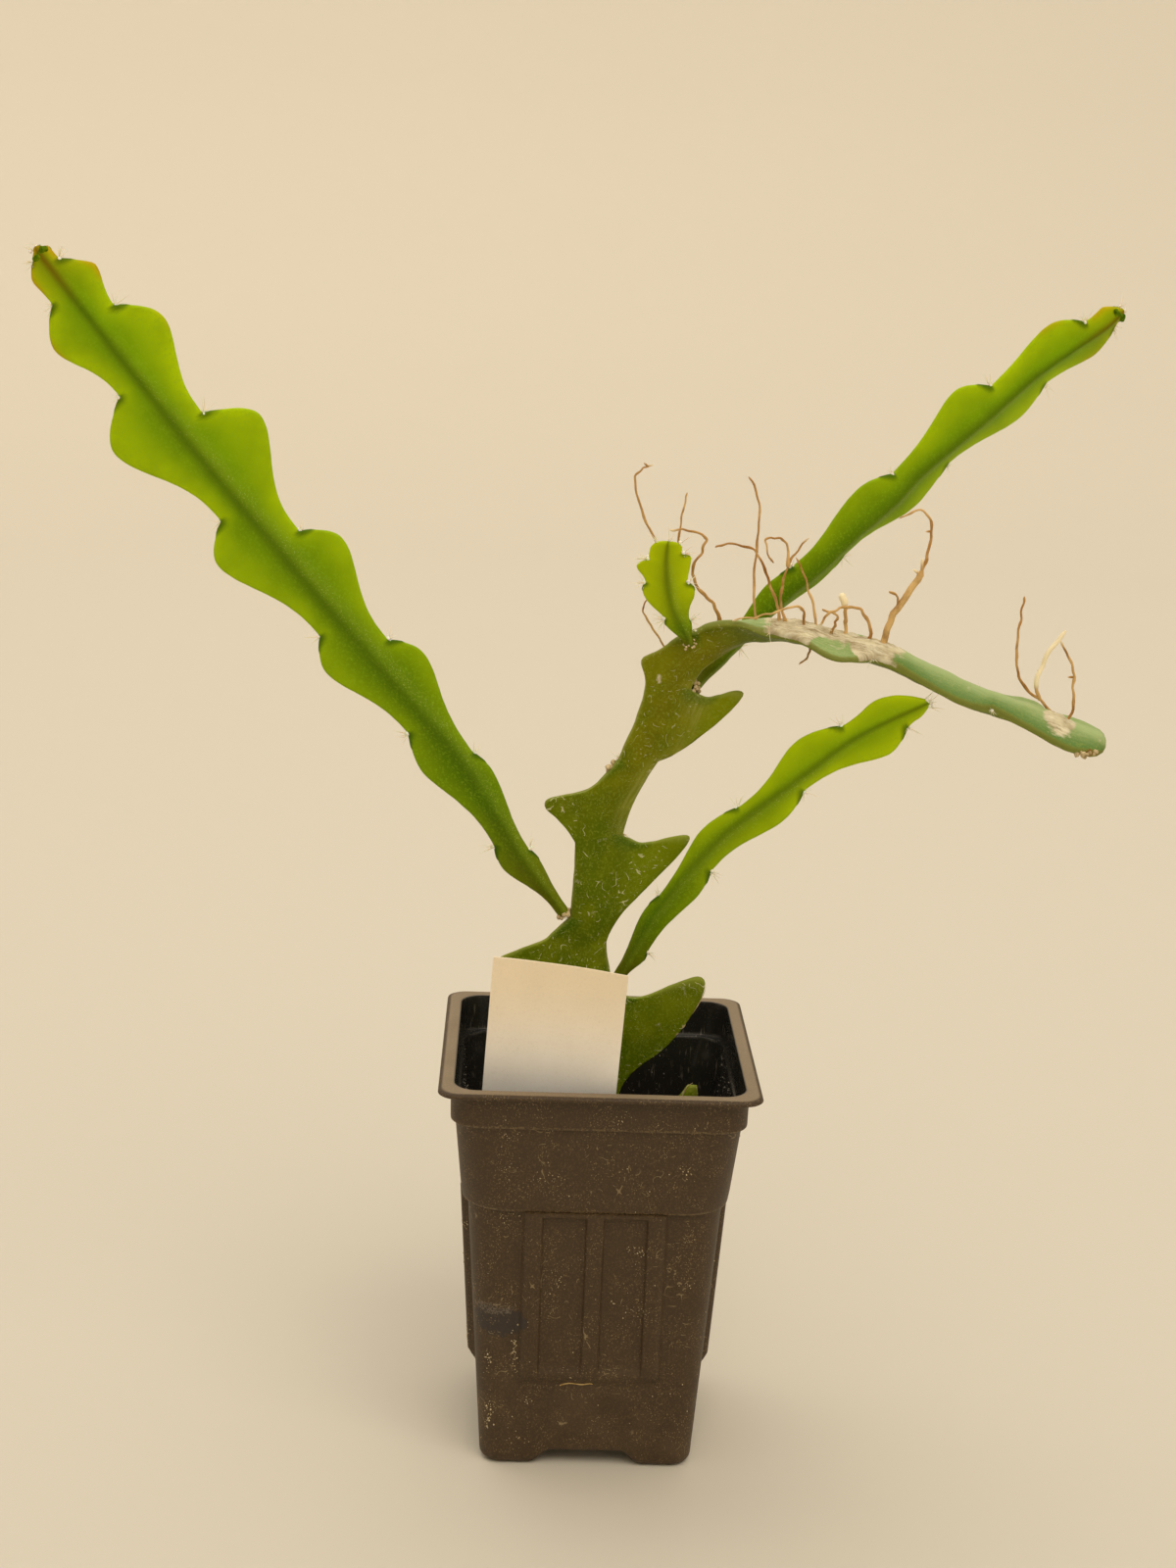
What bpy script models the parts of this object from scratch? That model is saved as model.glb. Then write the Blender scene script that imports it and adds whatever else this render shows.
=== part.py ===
"""A potted ric rac cactus: flat toothed stems rising from a square nursery pot with a bare label.

Run with: blender --background --python part.py
Lengths are in millimetres and MM turns them into metres.  +Z is up, the viewer stands at -Y and
+X is to the viewer's right.  Every route is measured from the middle of the pot's underside, and
POT_CENTRE then moves the whole plant so that the origin is the middle of its box, on the ground.
"""
import math
from typing import NamedTuple

import bpy
import numpy as np
from mathutils import Matrix, Vector

MM = 0.001
POT_CENTRE = (6.3, 0.0)
TOUCH_GAP = 0.35        # left between pieces that touch on the real plant

# Pot: moulded plastic, nearly square, wider at the top
POT_HEIGHT = 119.0
BASE_HALF = 30.7
STEP_Z = 82.0
LOWER_TOP_HALF = 36.1
UPPER_BASE_HALF = 38.0
COLLAR_Z = 109.5
UPPER_TOP_HALF = 40.3
COLLAR_HALF = 41.6
RIM_HALF = 45.0
RIM_THICK = 1.2
WALL = 1.1
STEP_DROP = 1.2         # how far the inner wall's steps spread above and below the outer ones
COLLAR_SLOPE = 0.2
FLOOR_Z = 4.4
FOOT_RISE = 3.1
ARCH_BOTTOM = 28.0
ARCH_TOP = 17.0
ARCH_SHOULDER = 2.4
DRAIN_RADIUS = 3.0
DRAIN_OFFSET = 15.0
DRAIN_SIDES = 12
CORNER_STEPS = 5

# Raised pad on each lower face, with two sunk panels
PAD_HALF = 20.3
PAD_OUT = 2.9
PAD_BOTTOM = 23.5
PAD_CHAMFER = 4.0
PAD_LIP = 0.3
PAD_SINK = 0.5
PANEL_EDGES = (2.5, 14.7)
PANEL_BOTTOM = 31.0
PANEL_TOP = 77.5
PANEL_DEPTH = 1.3

# Soil, well below the rim, with plain holes for the stem and the label
SOIL_TOP = 86.0
SOIL_BUMP = 0.9
SOIL_RINGS = 6
SOIL_GAP = 0.5
STEM_HOLE_BOTTOM = 59.4
STEM_HOLE_HALF = (6.2, 4.4)
STEM_HOLE_SIDES = 16

# Label: a stiff bare card pushed into the soil
CARD_SIZE = (37.5, 73.0)
CARD_THICK = 0.6
CARD_TOP_MIDDLE = (-12.2, -36.0, 154.1)
CARD_YAW = -9.2
CARD_LEAN = 6.0
CARD_TILT = 3.9

# Stems
ROW_MIN = 0.9
EDGE_HALF = 0.6
RIB_SHARE = 0.65
NEEDLE_LENGTH = 4.2
NEEDLE_RADIUS = 0.34
NEEDLE_SINK = 1.6
NEEDLE_SPREAD = 34.0
NEEDLE_TURN = 0.31      # share of a turn that each tuft is turned past the last
NEEDLES_PER_AREOLE = 3
ROOT_SIDES = 6
ROOT_SPANS = 2


class Lobe(NamedTuple):
    """One tooth of a margin, in millimetres along the stem and out from its midrib."""
    start: float        # areole at the lower end of the tooth
    waist: float        # reach of the margin at that areole
    crest: float        # where the tooth stands out furthest
    reach: float        # how far it stands out there
    swell: float = 1.4  # above 1, the tooth swells late
    drop: float = 1.9   # above 1, its far shoulder is full, below 1 it is hollow


class StemSpec(NamedTuple):
    """A flat jointed stem: its route, its two toothed margins and its midrib.

    A margin is a list of teeth.  A tooth is a Lobe, or where it is hooked it is its outline: points
    of (station along the stem, reach from the midrib), from its areole to just short of the next.
    """
    route: list         # x, y, z and the turn of the blade in degrees
    left: list
    right: list
    tip_waist: float
    rib_half: tuple     # half width of the midrib at the foot and at the tip
    rib_thick: tuple    # half thickness there
    fold: float         # degrees that each half folds back from flat
    row_step: float = 3.4
    bare: tuple = ()    # areoles with no needles, because a branch grows there


MAIN = StemSpec(
    route=[(-1, 4, 60, 0), (-1, 4, 85, 0), (-1, 4, 107, 0), (-1, 3, 122, 0), (-1.5, 3, 136, 0),
           (-3, 3, 149, 0), (-4, 2, 160, 0), (-4, 2, 171, 0), (-2.5, 2, 182, 0), (1, 1, 193, 0),
           (6, 1, 203, 0), (11.5, 0, 213, 0), (15.5, 0, 224, 0), (18.5, 0, 230, 0),
           (22.5, 0, 235, 5), (28, -1, 239, 26), (34, -3, 242, 56), (43, -5, 243.5, 84),
           (52, -8, 243.5, 94), (60, -10, 241.5, 98), (74, -13, 239, 98), (87, -16, 234, 98),
           (100, -19, 229, 98), (113, -22, 225.3, 102), (123.5, -24.5, 221.7, 108),
           (131.5, -26.5, 219, 112)],
    left=[[(28, 5), (38, 12), (46, 16), (51, 13)],
          [(56, 6), (66, 12), (75, 21), (82, 27.5), (86, 28), (88.5, 21), (90.5, 14), (93.3, 10)],
          [(97, 5.6), (105, 4.8), (113, 4.8), (120.4, 6.2), (123, 9), (124, 13), (125, 16.3),
           (127, 16.7), (129, 13.5), (132, 8), (135.4, 5.4), (140, 4)],
          [(144.5, 3.3), (150, 4.4), (158, 5.3), (166, 5.9), (169.5, 7.4), (172, 10.1),
           (173.3, 10.5), (174.5, 9.7), (177.5, 7.7), (182, 6.6)],
          [(186, 5.8), (194, 8), (200, 9.5), (204, 8)],
          [(206, 6), (214, 9), (222, 13), (227, 13.5), (232, 10)],
          [(235, 6), (246, 8), (258, 11.5), (264, 11), (268, 8)],
          [(270, 6), (281, 9), (289, 10), (295, 9)]],
    right=[[(27, 5), (31, 13), (35.5, 23.5), (39, 30), (42.5, 31.5), (45.3, 31), (46.2, 29.2),
            (44.5, 27.6), (41.7, 26.4), (39, 25.3), (38.2, 21), (38, 13)],
           [(38, 7), (46, 9.5), (55, 15.7), (61, 23.7), (71, 30.7), (75.5, 32.3), (77.4, 30),
            (75.5, 23.5), (72.3, 14.6), (71.8, 10)],
           [(75, 5.2), (87, 4.4), (94.5, 5.8), (100.5, 8.6), (106, 12.7), (111, 17.2),
            (116.5, 21.5), (123, 24.6), (127.5, 26.2), (128.7, 24.8), (126.5, 20), (124, 16),
            (122.4, 12.5)],
           [(123.5, 7.4), (136, 6.7), (152, 6.8), (159, 9), (164, 13.9), (171.5, 17.7), (176, 19.5),
            (178.4, 19.3), (178.2, 17.3), (176.3, 15), (172.9, 11.8), (172, 9)],
           [(172, 5.8), (182, 5.2), (194, 6), (203, 10), (209, 11), (213, 8)],
           [(214, 5.5), (222, 8), (229, 10.5), (234, 9)],
           [(237, 5.5), (248, 8.5), (257, 9.5), (262, 8)],
           [(265, 5.5), (272, 8), (277.5, 10.6), (281, 11), (283, 9.5), (283.8, 7.5)],
           [(284, 5.6), (289, 8), (295, 8.2)]],
    tip_waist=6.5, rib_half=(3.4, 2.8), rib_thick=(3.0, 2.9), fold=0.0, row_step=2.5,
    bare=(75, 97, 172, 186))

LEFT_BRANCH = StemSpec(
    route=[(-11.1, 2, 157.5, 0), (-24, 0, 175.5, 4), (-34, -2, 192, 4), (-44, -4, 207, 4),
           (-57, -6, 222, 4), (-76, -9, 244, 4), (-97, -12, 268.5, 2), (-115, -15, 290, 0),
           (-129, -17, 307.5, -2), (-142.5, -19, 324.5, -4), (-151.5, -20, 336, -4),
           (-155, -20, 340.3, -4)],
    left=[Lobe(1, 1.8, 22, 6.9), Lobe(28, 5.4, 59, 11.4), Lobe(71, 7.2, 99, 13.3),
          Lobe(108, 7.8, 140.5, 16.6), Lobe(149.5, 7.8, 180.5, 18.7), Lobe(191.5, 7.6, 211, 13.8),
          Lobe(220.5, 6.3, 228, 6.8), Lobe(232.2, 3, 233.4, 2.6)],
    right=[Lobe(1, 1.8, 18, 3.4), Lobe(22, 2.6, 48, 5.4), Lobe(55, 3.6, 86, 11),
           Lobe(95, 6, 125, 14.6), Lobe(134, 7, 165, 19), Lobe(175, 7.4, 201, 15.2),
           Lobe(211, 6.8, 222.4, 9.6, 1.2, 1.3), Lobe(228.8, 2.9, 233, 2.8)],
    tip_waist=1.4, rib_half=(2.2, 1.6), rib_thick=(2.2, 1.1), fold=6.0)

RIGHT_BRANCH = StemSpec(
    route=[(23.6, 2, 225.3, 10), (28, 7.6, 229.4, 20), (34, 12, 235, 28), (46, 16.5, 247, 28),
           (58.5, 18, 258, 28), (69.5, 21, 268.5, 28), (79.5, 24, 277, 28), (88, 27, 286, 28),
           (104.5, 31, 300, 28), (121.5, 35, 315, 28), (139, 38, 327.5, 28), (144, 39, 332.3, 28)],
    left=[Lobe(1, 1.8, 11, 3.4), Lobe(15, 2.6, 38, 6.2), Lobe(46, 5.6, 75, 10.2),
          Lobe(86, 6.1, 114, 12.8), Lobe(123.5, 6.6, 146.5, 10.2), Lobe(156, 4.7, 163, 5.2)],
    right=[Lobe(1, 1.8, 12, 2.6), Lobe(20, 2.5, 50, 5.2), Lobe(59.5, 3.7, 89, 9.4),
           Lobe(101, 5.3, 127, 10.7), Lobe(138, 6.2, 155, 8.2), Lobe(163.4, 2.6, 166, 2)],
    tip_waist=1.4, rib_half=(2.0, 1.4), rib_thick=(2.0, 1.1), fold=14.0)

LOW_BRANCH = StemSpec(
    route=[(5.0, 2, 138, -6), (8, 0, 144.5, -12), (13, -3, 155.5, -16), (19, -6, 166.5, -16),
           (26.5, -9, 177.5, -16), (34.5, -12, 187.5, -14), (48.5, -16, 200.5, -12),
           (56, -18, 207.5, -10), (65, -20, 215.5, -8), (74.5, -22, 222, -6), (85, -24, 228, -4)],
    left=[Lobe(1, 1.8, 23, 3.8), Lobe(30, 2.6, 53, 5.8), Lobe(65, 3.8, 90, 8.9),
          Lobe(102.5, 4.8, 113.5, 6.6)],
    right=[Lobe(1, 1.9, 10, 3.9), Lobe(12.5, 3.6, 37.5, 6.3), Lobe(46, 4.4, 72, 7),
           Lobe(83, 3.6, 109.5, 8.9), Lobe(118.2, 4, 121, 3.3)],
    tip_waist=1.4, rib_half=(2.0, 1.4), rib_thick=(1.9, 1.1), fold=12.0)

TOP_SHOOT = StemSpec(
    route=[(21, -4.8, 239, 0), (18.4, -6.4, 244.4, 0), (15.9, -8, 249.2, 0),
           (14.2, -8.6, 255.2, 0), (13.3, -9, 262.4, 0), (13.4, -9.2, 267.2, 0)],
    left=[Lobe(1, 1.6, 8.1, 3.9, 0.9), Lobe(9.8, 3.4, 18, 7.3, 0.9, 2.5),
          Lobe(19.8, 6.1, 24.2, 8.3, 1.2, 2.5), Lobe(26, 5, 28.4, 4.7)],
    right=[Lobe(1, 1.3, 4.7, 2.6), Lobe(6.2, 2.6, 15.5, 7, 0.9, 2.5),
           Lobe(18.3, 5.5, 26, 6.9, 0.9, 2.5), Lobe(27.6, 4.4, 29, 4.1)],
    tip_waist=3.5, rib_half=(1.5, 1.2), rib_thick=(1.5, 1.0), fold=8.0)

# Aerial roots: foot radius, tip radius, and a route that starts inside the main stem
AERIAL_ROOTS = [
    (0.85, 0.5, [(30, -2, 240.5), (28.5, -2, 248), (25, -2.5, 252), (22, -3, 255.5),
                 (21, -3, 260), (23.5, -3, 265), (24, -3.5, 268.5), (19, -4, 270.5), (14, -5, 270.5)]),
    (0.7, 0.45, [(46, -6.5, 243.5), (44.5, -7, 251), (42.5, -7, 256), (40, -8, 262),
                 (36.5, -8, 266.5), (31, -8, 267.5), (26.5, -8, 266.5)]),
    (0.55, 0.4, [(17, 0.8, 229.5), (14.5, 3, 236), (11, 4, 241.5), (8, 4, 246), (9, 4, 249.5)]),
    (0.7, 0.45, [(20, 1, 231.5), (20.5, 4, 240), (18, 6, 249), (12, 8, 264), (8, 8, 271),
                 (4.5, 8, 281), (6, 8, 285.5), (9.5, 8, 287)]),
    (0.6, 0.4, [(18.6, 5.6, 247), (18.2, 5, 258), (17.2, 5, 266), (18, 5, 274), (19, 5, 280)]),
    (0.65, 0.45, [(40, -4.5, 243), (38.3, -5, 251), (38, -5, 262), (38.5, -5, 272),
                  (38, -5, 280), (35, -5, 286)]),
    (0.75, 0.45, [(48, -7, 243.5), (45.5, -8.5, 251), (45.5, -9, 257), (47.5, -9, 264),
                  (52, -9, 270)]),
    (0.6, 0.4, [(46.8, -9, 262), (46, -9.5, 268.5), (42.5, -10, 270), (40, -10, 268.5),
                (42.5, -10, 263)]),
    (0.65, 0.4, [(56, -9, 242.5), (54.5, -9, 251), (52, -9.5, 258), (49, -10, 265)]),
    (0.6, 0.4, [(52, -9, 243.5), (51.5, -12, 249.5), (49, -14, 252), (43, -14, 250),
                (38, -13, 248.3), (32, -12, 247.3)]),
    (0.55, 0.4, [(59, -10.5, 241.5), (60, -12.5, 246.5), (60.5, -13, 249.3), (56.5, -13, 251)]),
    (0.75, 0.8, [(63.5, -11, 240.5), (63.3, -11, 247), (63, -11, 252), (61.5, -11, 255.5)]),
    (0.65, 0.4, [(69, -12, 239.5), (70, -13, 246), (67, -14, 251.5), (62, -14.5, 252),
                 (57.5, -15, 250), (56, -15, 247)]),
    (1.0, 0.4, [(73, -13, 238.5), (75, -14, 248), (78, -14, 254), (83, -14, 263),
                (84.5, -14, 270), (84.5, -14, 276.5), (81, -14, 279.5), (76, -14, 277)]),
    (0.55, 0.4, [(76, -14, 250), (76.8, -14, 255), (74.5, -14, 257)]),
    (0.6, 0.4, [(54, -8.5, 242.5), (54, -9, 238), (51.5, -9, 234.5)]),
    (0.75, 0.45, [(120, -23.5, 222), (119, -22, 227.5), (112.5, -22, 232.5), (109.3, -22, 239),
                  (109, -22, 247), (109.5, -22, 253), (110, -22, 258)]),
    (0.8, 0.65, [(116.5, -22, 229.5), (115, -22, 234), (117, -22, 241), (122, -22, 249)]),
    (0.75, 0.5, [(123, -24, 221), (125, -24.5, 228), (124.6, -25, 235), (123.5, -25, 241),
                 (120, -25, 246.5)]),
]


# Scene and materials

def clear_scene():
    """Start from an empty scene."""
    for obj in list(bpy.data.objects):
        bpy.data.objects.remove(obj, do_unlink=True)


def make_material(name, colour, roughness):
    """A Principled material; colour is linear RGB."""
    material = bpy.data.materials.new(name)
    material.use_nodes = True
    shader = material.node_tree.nodes["Principled BSDF"]
    shader.inputs["Base Color"].default_value = (*colour, 1.0)
    shader.inputs["Roughness"].default_value = roughness
    shader.inputs["Metallic"].default_value = 0.0
    return material


def mesh_object(name, verts, faces, material=None, collection=None):
    """An object from millimetre points in the pot's frame, moved to the part's frame."""
    shift = Vector((*POT_CENTRE, 0.0))
    mesh = bpy.data.meshes.new(name)
    mesh.from_pydata([(Vector(v) + shift) * MM for v in verts], [], faces)
    mesh.update()
    obj = bpy.data.objects.new(name, mesh)
    (collection or bpy.context.scene.collection).objects.link(obj)
    if material:
        mesh.materials.append(material)
    return obj


def apply_boolean(obj, operation, operand_collection):
    """Join or cut obj with everything in a collection, then remove that collection's objects."""
    modifier = obj.modifiers.new(operation.title(), "BOOLEAN")
    modifier.operation = operation
    modifier.solver = "EXACT"
    modifier.operand_type = "COLLECTION"
    modifier.collection = operand_collection
    depsgraph = bpy.context.evaluated_depsgraph_get()
    result = bpy.data.meshes.new_from_object(obj.evaluated_get(depsgraph))
    obj.modifiers.remove(modifier)
    obj.data = result
    for operand in list(operand_collection.objects):
        bpy.data.objects.remove(operand, do_unlink=True)
    bpy.data.collections.remove(operand_collection)


def new_collection(name):
    """A collection for the operands of one Boolean."""
    collection = bpy.data.collections.new(name)
    bpy.context.scene.collection.children.link(collection)
    return collection


def mark_cutter(obj):
    """A cutter is only an outline in the viewport and is never rendered."""
    obj.hide_render = True
    obj.display_type = "WIRE"


# Curves and lofts

def smooth_rows(rows, per_span):
    """A Catmull-Rom curve through rows of numbers, per_span samples between neighbours."""
    rows = np.array(rows, dtype=float)
    padded = np.vstack([2 * rows[0] - rows[1], rows, 2 * rows[-1] - rows[-2]])
    t = np.linspace(0.0, 1.0, per_span, endpoint=False)[:, None]
    spans = []
    for p0, p1, p2, p3 in zip(padded, padded[1:], padded[2:], padded[3:]):
        spans.append(0.5 * (2 * p1 + (p2 - p0) * t + (2 * p0 - 5 * p1 + 4 * p2 - p3) * t ** 2
                            + (3 * p1 - p0 - 3 * p2 + p3) * t ** 3))
    return np.vstack(spans + [rows[-1:]])


def along_outline(points, share):
    """The point a share of the way along a smooth outline, by its length."""
    curve = smooth_rows(points, 8)
    steps = np.linalg.norm(np.diff(curve, axis=0), axis=1)
    along = np.concatenate([[0.0], np.cumsum(steps)]) / steps.sum()
    return float(np.interp(share, along, curve[:, 0])), float(np.interp(share, along, curve[:, 1]))


def loft_faces(ring_count, ring_size, first_cap=True, last_cap=True):
    """Quads between closed rings, and a flat cap at each end."""
    faces = []
    for i in range(ring_count - 1):
        for j in range(ring_size):
            k = (j + 1) % ring_size
            a, b = i * ring_size, (i + 1) * ring_size
            faces.append((a + j, a + k, b + k, b + j))
    if first_cap:
        faces.append(tuple(reversed(range(ring_size))))
    if last_cap:
        last = (ring_count - 1) * ring_size
        faces.append(tuple(range(last, last + ring_size)))
    return faces


def rounded_square(half, radius, z):
    """Points of a level square with rounded corners, counter-clockwise from the +X side."""
    points = []
    for quarter in range(4):
        turn = quarter * math.pi / 2
        corner = Vector((half - radius, half - radius))
        for step in range(CORNER_STEPS + 1):
            angle = step / CORNER_STEPS * math.pi / 2
            x = corner.x + radius * math.cos(angle)
            y = corner.y + radius * math.sin(angle)
            points.append((x * math.cos(turn) - y * math.sin(turn),
                           x * math.sin(turn) + y * math.cos(turn), z))
    return points


# Pot

def lower_wall_half(z):
    """Half width of the pot's tapered lower body at a height."""
    return BASE_HALF + (LOWER_TOP_HALF - BASE_HALF) * z / STEP_Z


def pot_shell(material):
    """The outer wall up to the rim and the inner wall back down to the floor, as one shell."""
    # Each ring is its half width, its corner radius and its height
    rings = [
        (BASE_HALF, 6.0, 0.0), (LOWER_TOP_HALF, 9.0, STEP_Z), (UPPER_BASE_HALF, 11.5, STEP_Z),
        (UPPER_TOP_HALF, 9.5, COLLAR_Z), (COLLAR_HALF - COLLAR_SLOPE, 8.0, COLLAR_Z),
        (COLLAR_HALF, 7.5, POT_HEIGHT - RIM_THICK), (RIM_HALF, 5.0, POT_HEIGHT - RIM_THICK),
        (RIM_HALF, 5.0, POT_HEIGHT), (COLLAR_HALF - WALL, 6.5, POT_HEIGHT),
        (COLLAR_HALF - WALL - COLLAR_SLOPE, 7.0, COLLAR_Z + STEP_DROP),
        (UPPER_TOP_HALF - WALL, 8.5, COLLAR_Z - STEP_DROP),
        (UPPER_BASE_HALF - WALL, 10.5, STEP_Z + STEP_DROP),
        (LOWER_TOP_HALF - WALL, 8.0, STEP_Z - STEP_DROP),
        (lower_wall_half(FLOOR_Z) - WALL, 5.0, FLOOR_Z)]
    verts = [point for half, radius, z in rings for point in rounded_square(half, radius, z)]
    ring_size = 4 * (CORNER_STEPS + 1)
    return mesh_object("pot", verts, loft_faces(len(rings), ring_size), material)


def turned(points, quarter):
    """Points turned about the pot's axis by a number of quarter turns."""
    turn = Matrix.Rotation(quarter * math.pi / 2, 3, "Z")
    return [tuple(turn @ Vector(p)) for p in points]


def prism(name, outline, low_x, high_x, quarter, collection):
    """A prism along X of an outline in Y and Z, turned onto one face of the pot."""
    count = len(outline)
    verts = [(low_x, y, z) for y, z in outline] + [(high_x, y, z) for y, z in outline]
    return mesh_object(name, turned(verts, quarter), loft_faces(2, count), None, collection)


def pad_outline():
    """Side profile of the raised pad on the -Y face, sunk a little into the wall."""
    top = STEP_Z - PAD_SINK
    foot = PAD_BOTTOM + PAD_CHAMFER
    return [(-lower_wall_half(PAD_BOTTOM) + PAD_SINK, PAD_BOTTOM),
            (-lower_wall_half(top) + PAD_SINK, top),
            (-lower_wall_half(top) - PAD_OUT, top),
            (-lower_wall_half(foot) - PAD_OUT, foot),
            (-lower_wall_half(PAD_BOTTOM) - PAD_LIP, PAD_BOTTOM)]


def panel_outline():
    """Side profile of the cutter that sinks a panel into a pad."""
    skin = PAD_OUT - PANEL_DEPTH
    clear = PAD_OUT + 3.0
    return [(-lower_wall_half(PANEL_BOTTOM) - skin, PANEL_BOTTOM),
            (-lower_wall_half(PANEL_TOP) - skin, PANEL_TOP),
            (-lower_wall_half(PANEL_TOP) - clear, PANEL_TOP),
            (-lower_wall_half(PANEL_BOTTOM) - clear, PANEL_BOTTOM)]


def arch_outline():
    """Cross profile of the channel that leaves four feet under the pot."""
    half = [(ARCH_BOTTOM / 2, -1.0), (ARCH_BOTTOM / 2, 0.1 * FOOT_RISE),
            (ARCH_TOP / 2 + ARCH_SHOULDER, 0.6 * FOOT_RISE), (ARCH_TOP / 2, FOOT_RISE)]
    return half + [(-y, z) for y, z in reversed(half)]


def oval_rings(centre, half, heights, sides):
    """Level ovals at the given heights, for an upright hole."""
    angles = [2 * math.pi * i / sides for i in range(sides)]
    return [(centre[0] + half[0] * math.cos(angle), centre[1] + half[1] * math.sin(angle), z)
            for z in heights for angle in angles]


def drain_cutter(x, y, collection):
    """A round hole through the pot's floor."""
    verts = oval_rings((x, y), (DRAIN_RADIUS, DRAIN_RADIUS), (FOOT_RISE - 2.0, FLOOR_Z + 2.0), DRAIN_SIDES)
    return mesh_object("drain_cutter", verts, loft_faces(2, DRAIN_SIDES), None, collection)


def make_pot():
    """The pot with its pads, sunk panels, feet and drain holes."""
    plastic = make_material("pot_plastic", (0.045, 0.035, 0.025), 0.55)
    pot = pot_shell(plastic)
    pads = new_collection("pads")
    cutters = new_collection("pot_cutters")
    for quarter in range(4):
        prism("pad", pad_outline(), -PAD_HALF, PAD_HALF, quarter, pads)
        for side in (-1, 1):
            low, high = sorted(side * edge for edge in PANEL_EDGES)
            mark_cutter(prism("panel_cutter", panel_outline(), low, high, quarter, cutters))
    for quarter in range(2):
        mark_cutter(prism("arch_cutter", arch_outline(), -RIM_HALF, RIM_HALF, quarter, cutters))
    for x, y in ((0, 0), (DRAIN_OFFSET, 0), (-DRAIN_OFFSET, 0), (0, DRAIN_OFFSET), (0, -DRAIN_OFFSET)):
        mark_cutter(drain_cutter(x, y, cutters))
    apply_boolean(pot, "UNION", pads)
    apply_boolean(pot, "DIFFERENCE", cutters)
    return pot


# Soil and label

def soil_bump(x, y):
    """Gentle unevenness of the soil's surface."""
    return SOIL_BUMP * (math.sin(0.31 * x + 1.1) * math.cos(0.27 * y) + 0.5 * math.sin(0.55 * y + 0.2 * x))


def make_soil():
    """The block of soil inside the pot, with its uneven top and two plain holes."""
    earth = make_material("soil_earth", (0.05, 0.035, 0.022), 0.95)
    clear = WALL + SOIL_GAP
    body = [(lower_wall_half(FLOOR_Z) - clear, 5.0, FLOOR_Z + TOUCH_GAP),
            (LOWER_TOP_HALF - clear, 8.0, STEP_Z - STEP_DROP),
            (UPPER_BASE_HALF - clear, 10.5, STEP_Z + STEP_DROP)]
    verts = [point for half, radius, z in body for point in rounded_square(half, radius, z)]
    edge = rounded_square(UPPER_BASE_HALF - clear, 10.5, SOIL_TOP)
    for ring in range(SOIL_RINGS):
        scale = 1.0 - ring / SOIL_RINGS
        fade = min(1.0, 0.4 + ring)
        for x, y, z in edge:
            verts.append((x * scale, y * scale, z + fade * soil_bump(x * scale, y * scale)))
    faces = loft_faces(len(body) + SOIL_RINGS, len(edge), True, False)
    centre = len(verts)
    verts.append((0, 0, SOIL_TOP + soil_bump(0, 0)))
    last = centre - len(edge)
    faces += [(last + j, last + (j + 1) % len(edge), centre) for j in range(len(edge))]
    soil = mesh_object("soil", verts, faces, earth)
    holes = new_collection("soil_cutters")
    mark_cutter(stem_hole(holes))
    mark_cutter(card_solid("slot_cutter", TOUCH_GAP, holes))
    apply_boolean(soil, "DIFFERENCE", holes)
    return soil


def stem_hole(collection):
    """An oval hole round the buried end of the main stem."""
    heights = (STEM_HOLE_BOTTOM, SOIL_TOP + 6.0)
    verts = oval_rings(MAIN.route[0][:2], STEM_HOLE_HALF, heights, STEM_HOLE_SIDES)
    return mesh_object("stem_hole_cutter", verts, loft_faces(2, STEM_HOLE_SIDES), None, collection)


def card_solid(name, grow, collection=None, material=None):
    """The card, or its slot where grow is more than nothing."""
    turn = (Matrix.Rotation(math.radians(CARD_YAW), 3, "Z")
            @ Matrix.Rotation(math.radians(CARD_LEAN), 3, "X")
            @ Matrix.Rotation(math.radians(CARD_TILT), 3, "Y"))
    half_w = CARD_SIZE[0] / 2 + grow
    half_t = CARD_THICK / 2 + grow
    low = -CARD_SIZE[1] - grow
    outline = [(-half_w, -half_t), (half_w, -half_t), (half_w, half_t), (-half_w, half_t)]
    verts = [turn @ Vector((x, y, z)) + Vector(CARD_TOP_MIDDLE) for z in (low, 0.0) for x, y in outline]
    return mesh_object(name, verts, loft_faces(2, 4), material, collection)


# Stems

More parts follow.
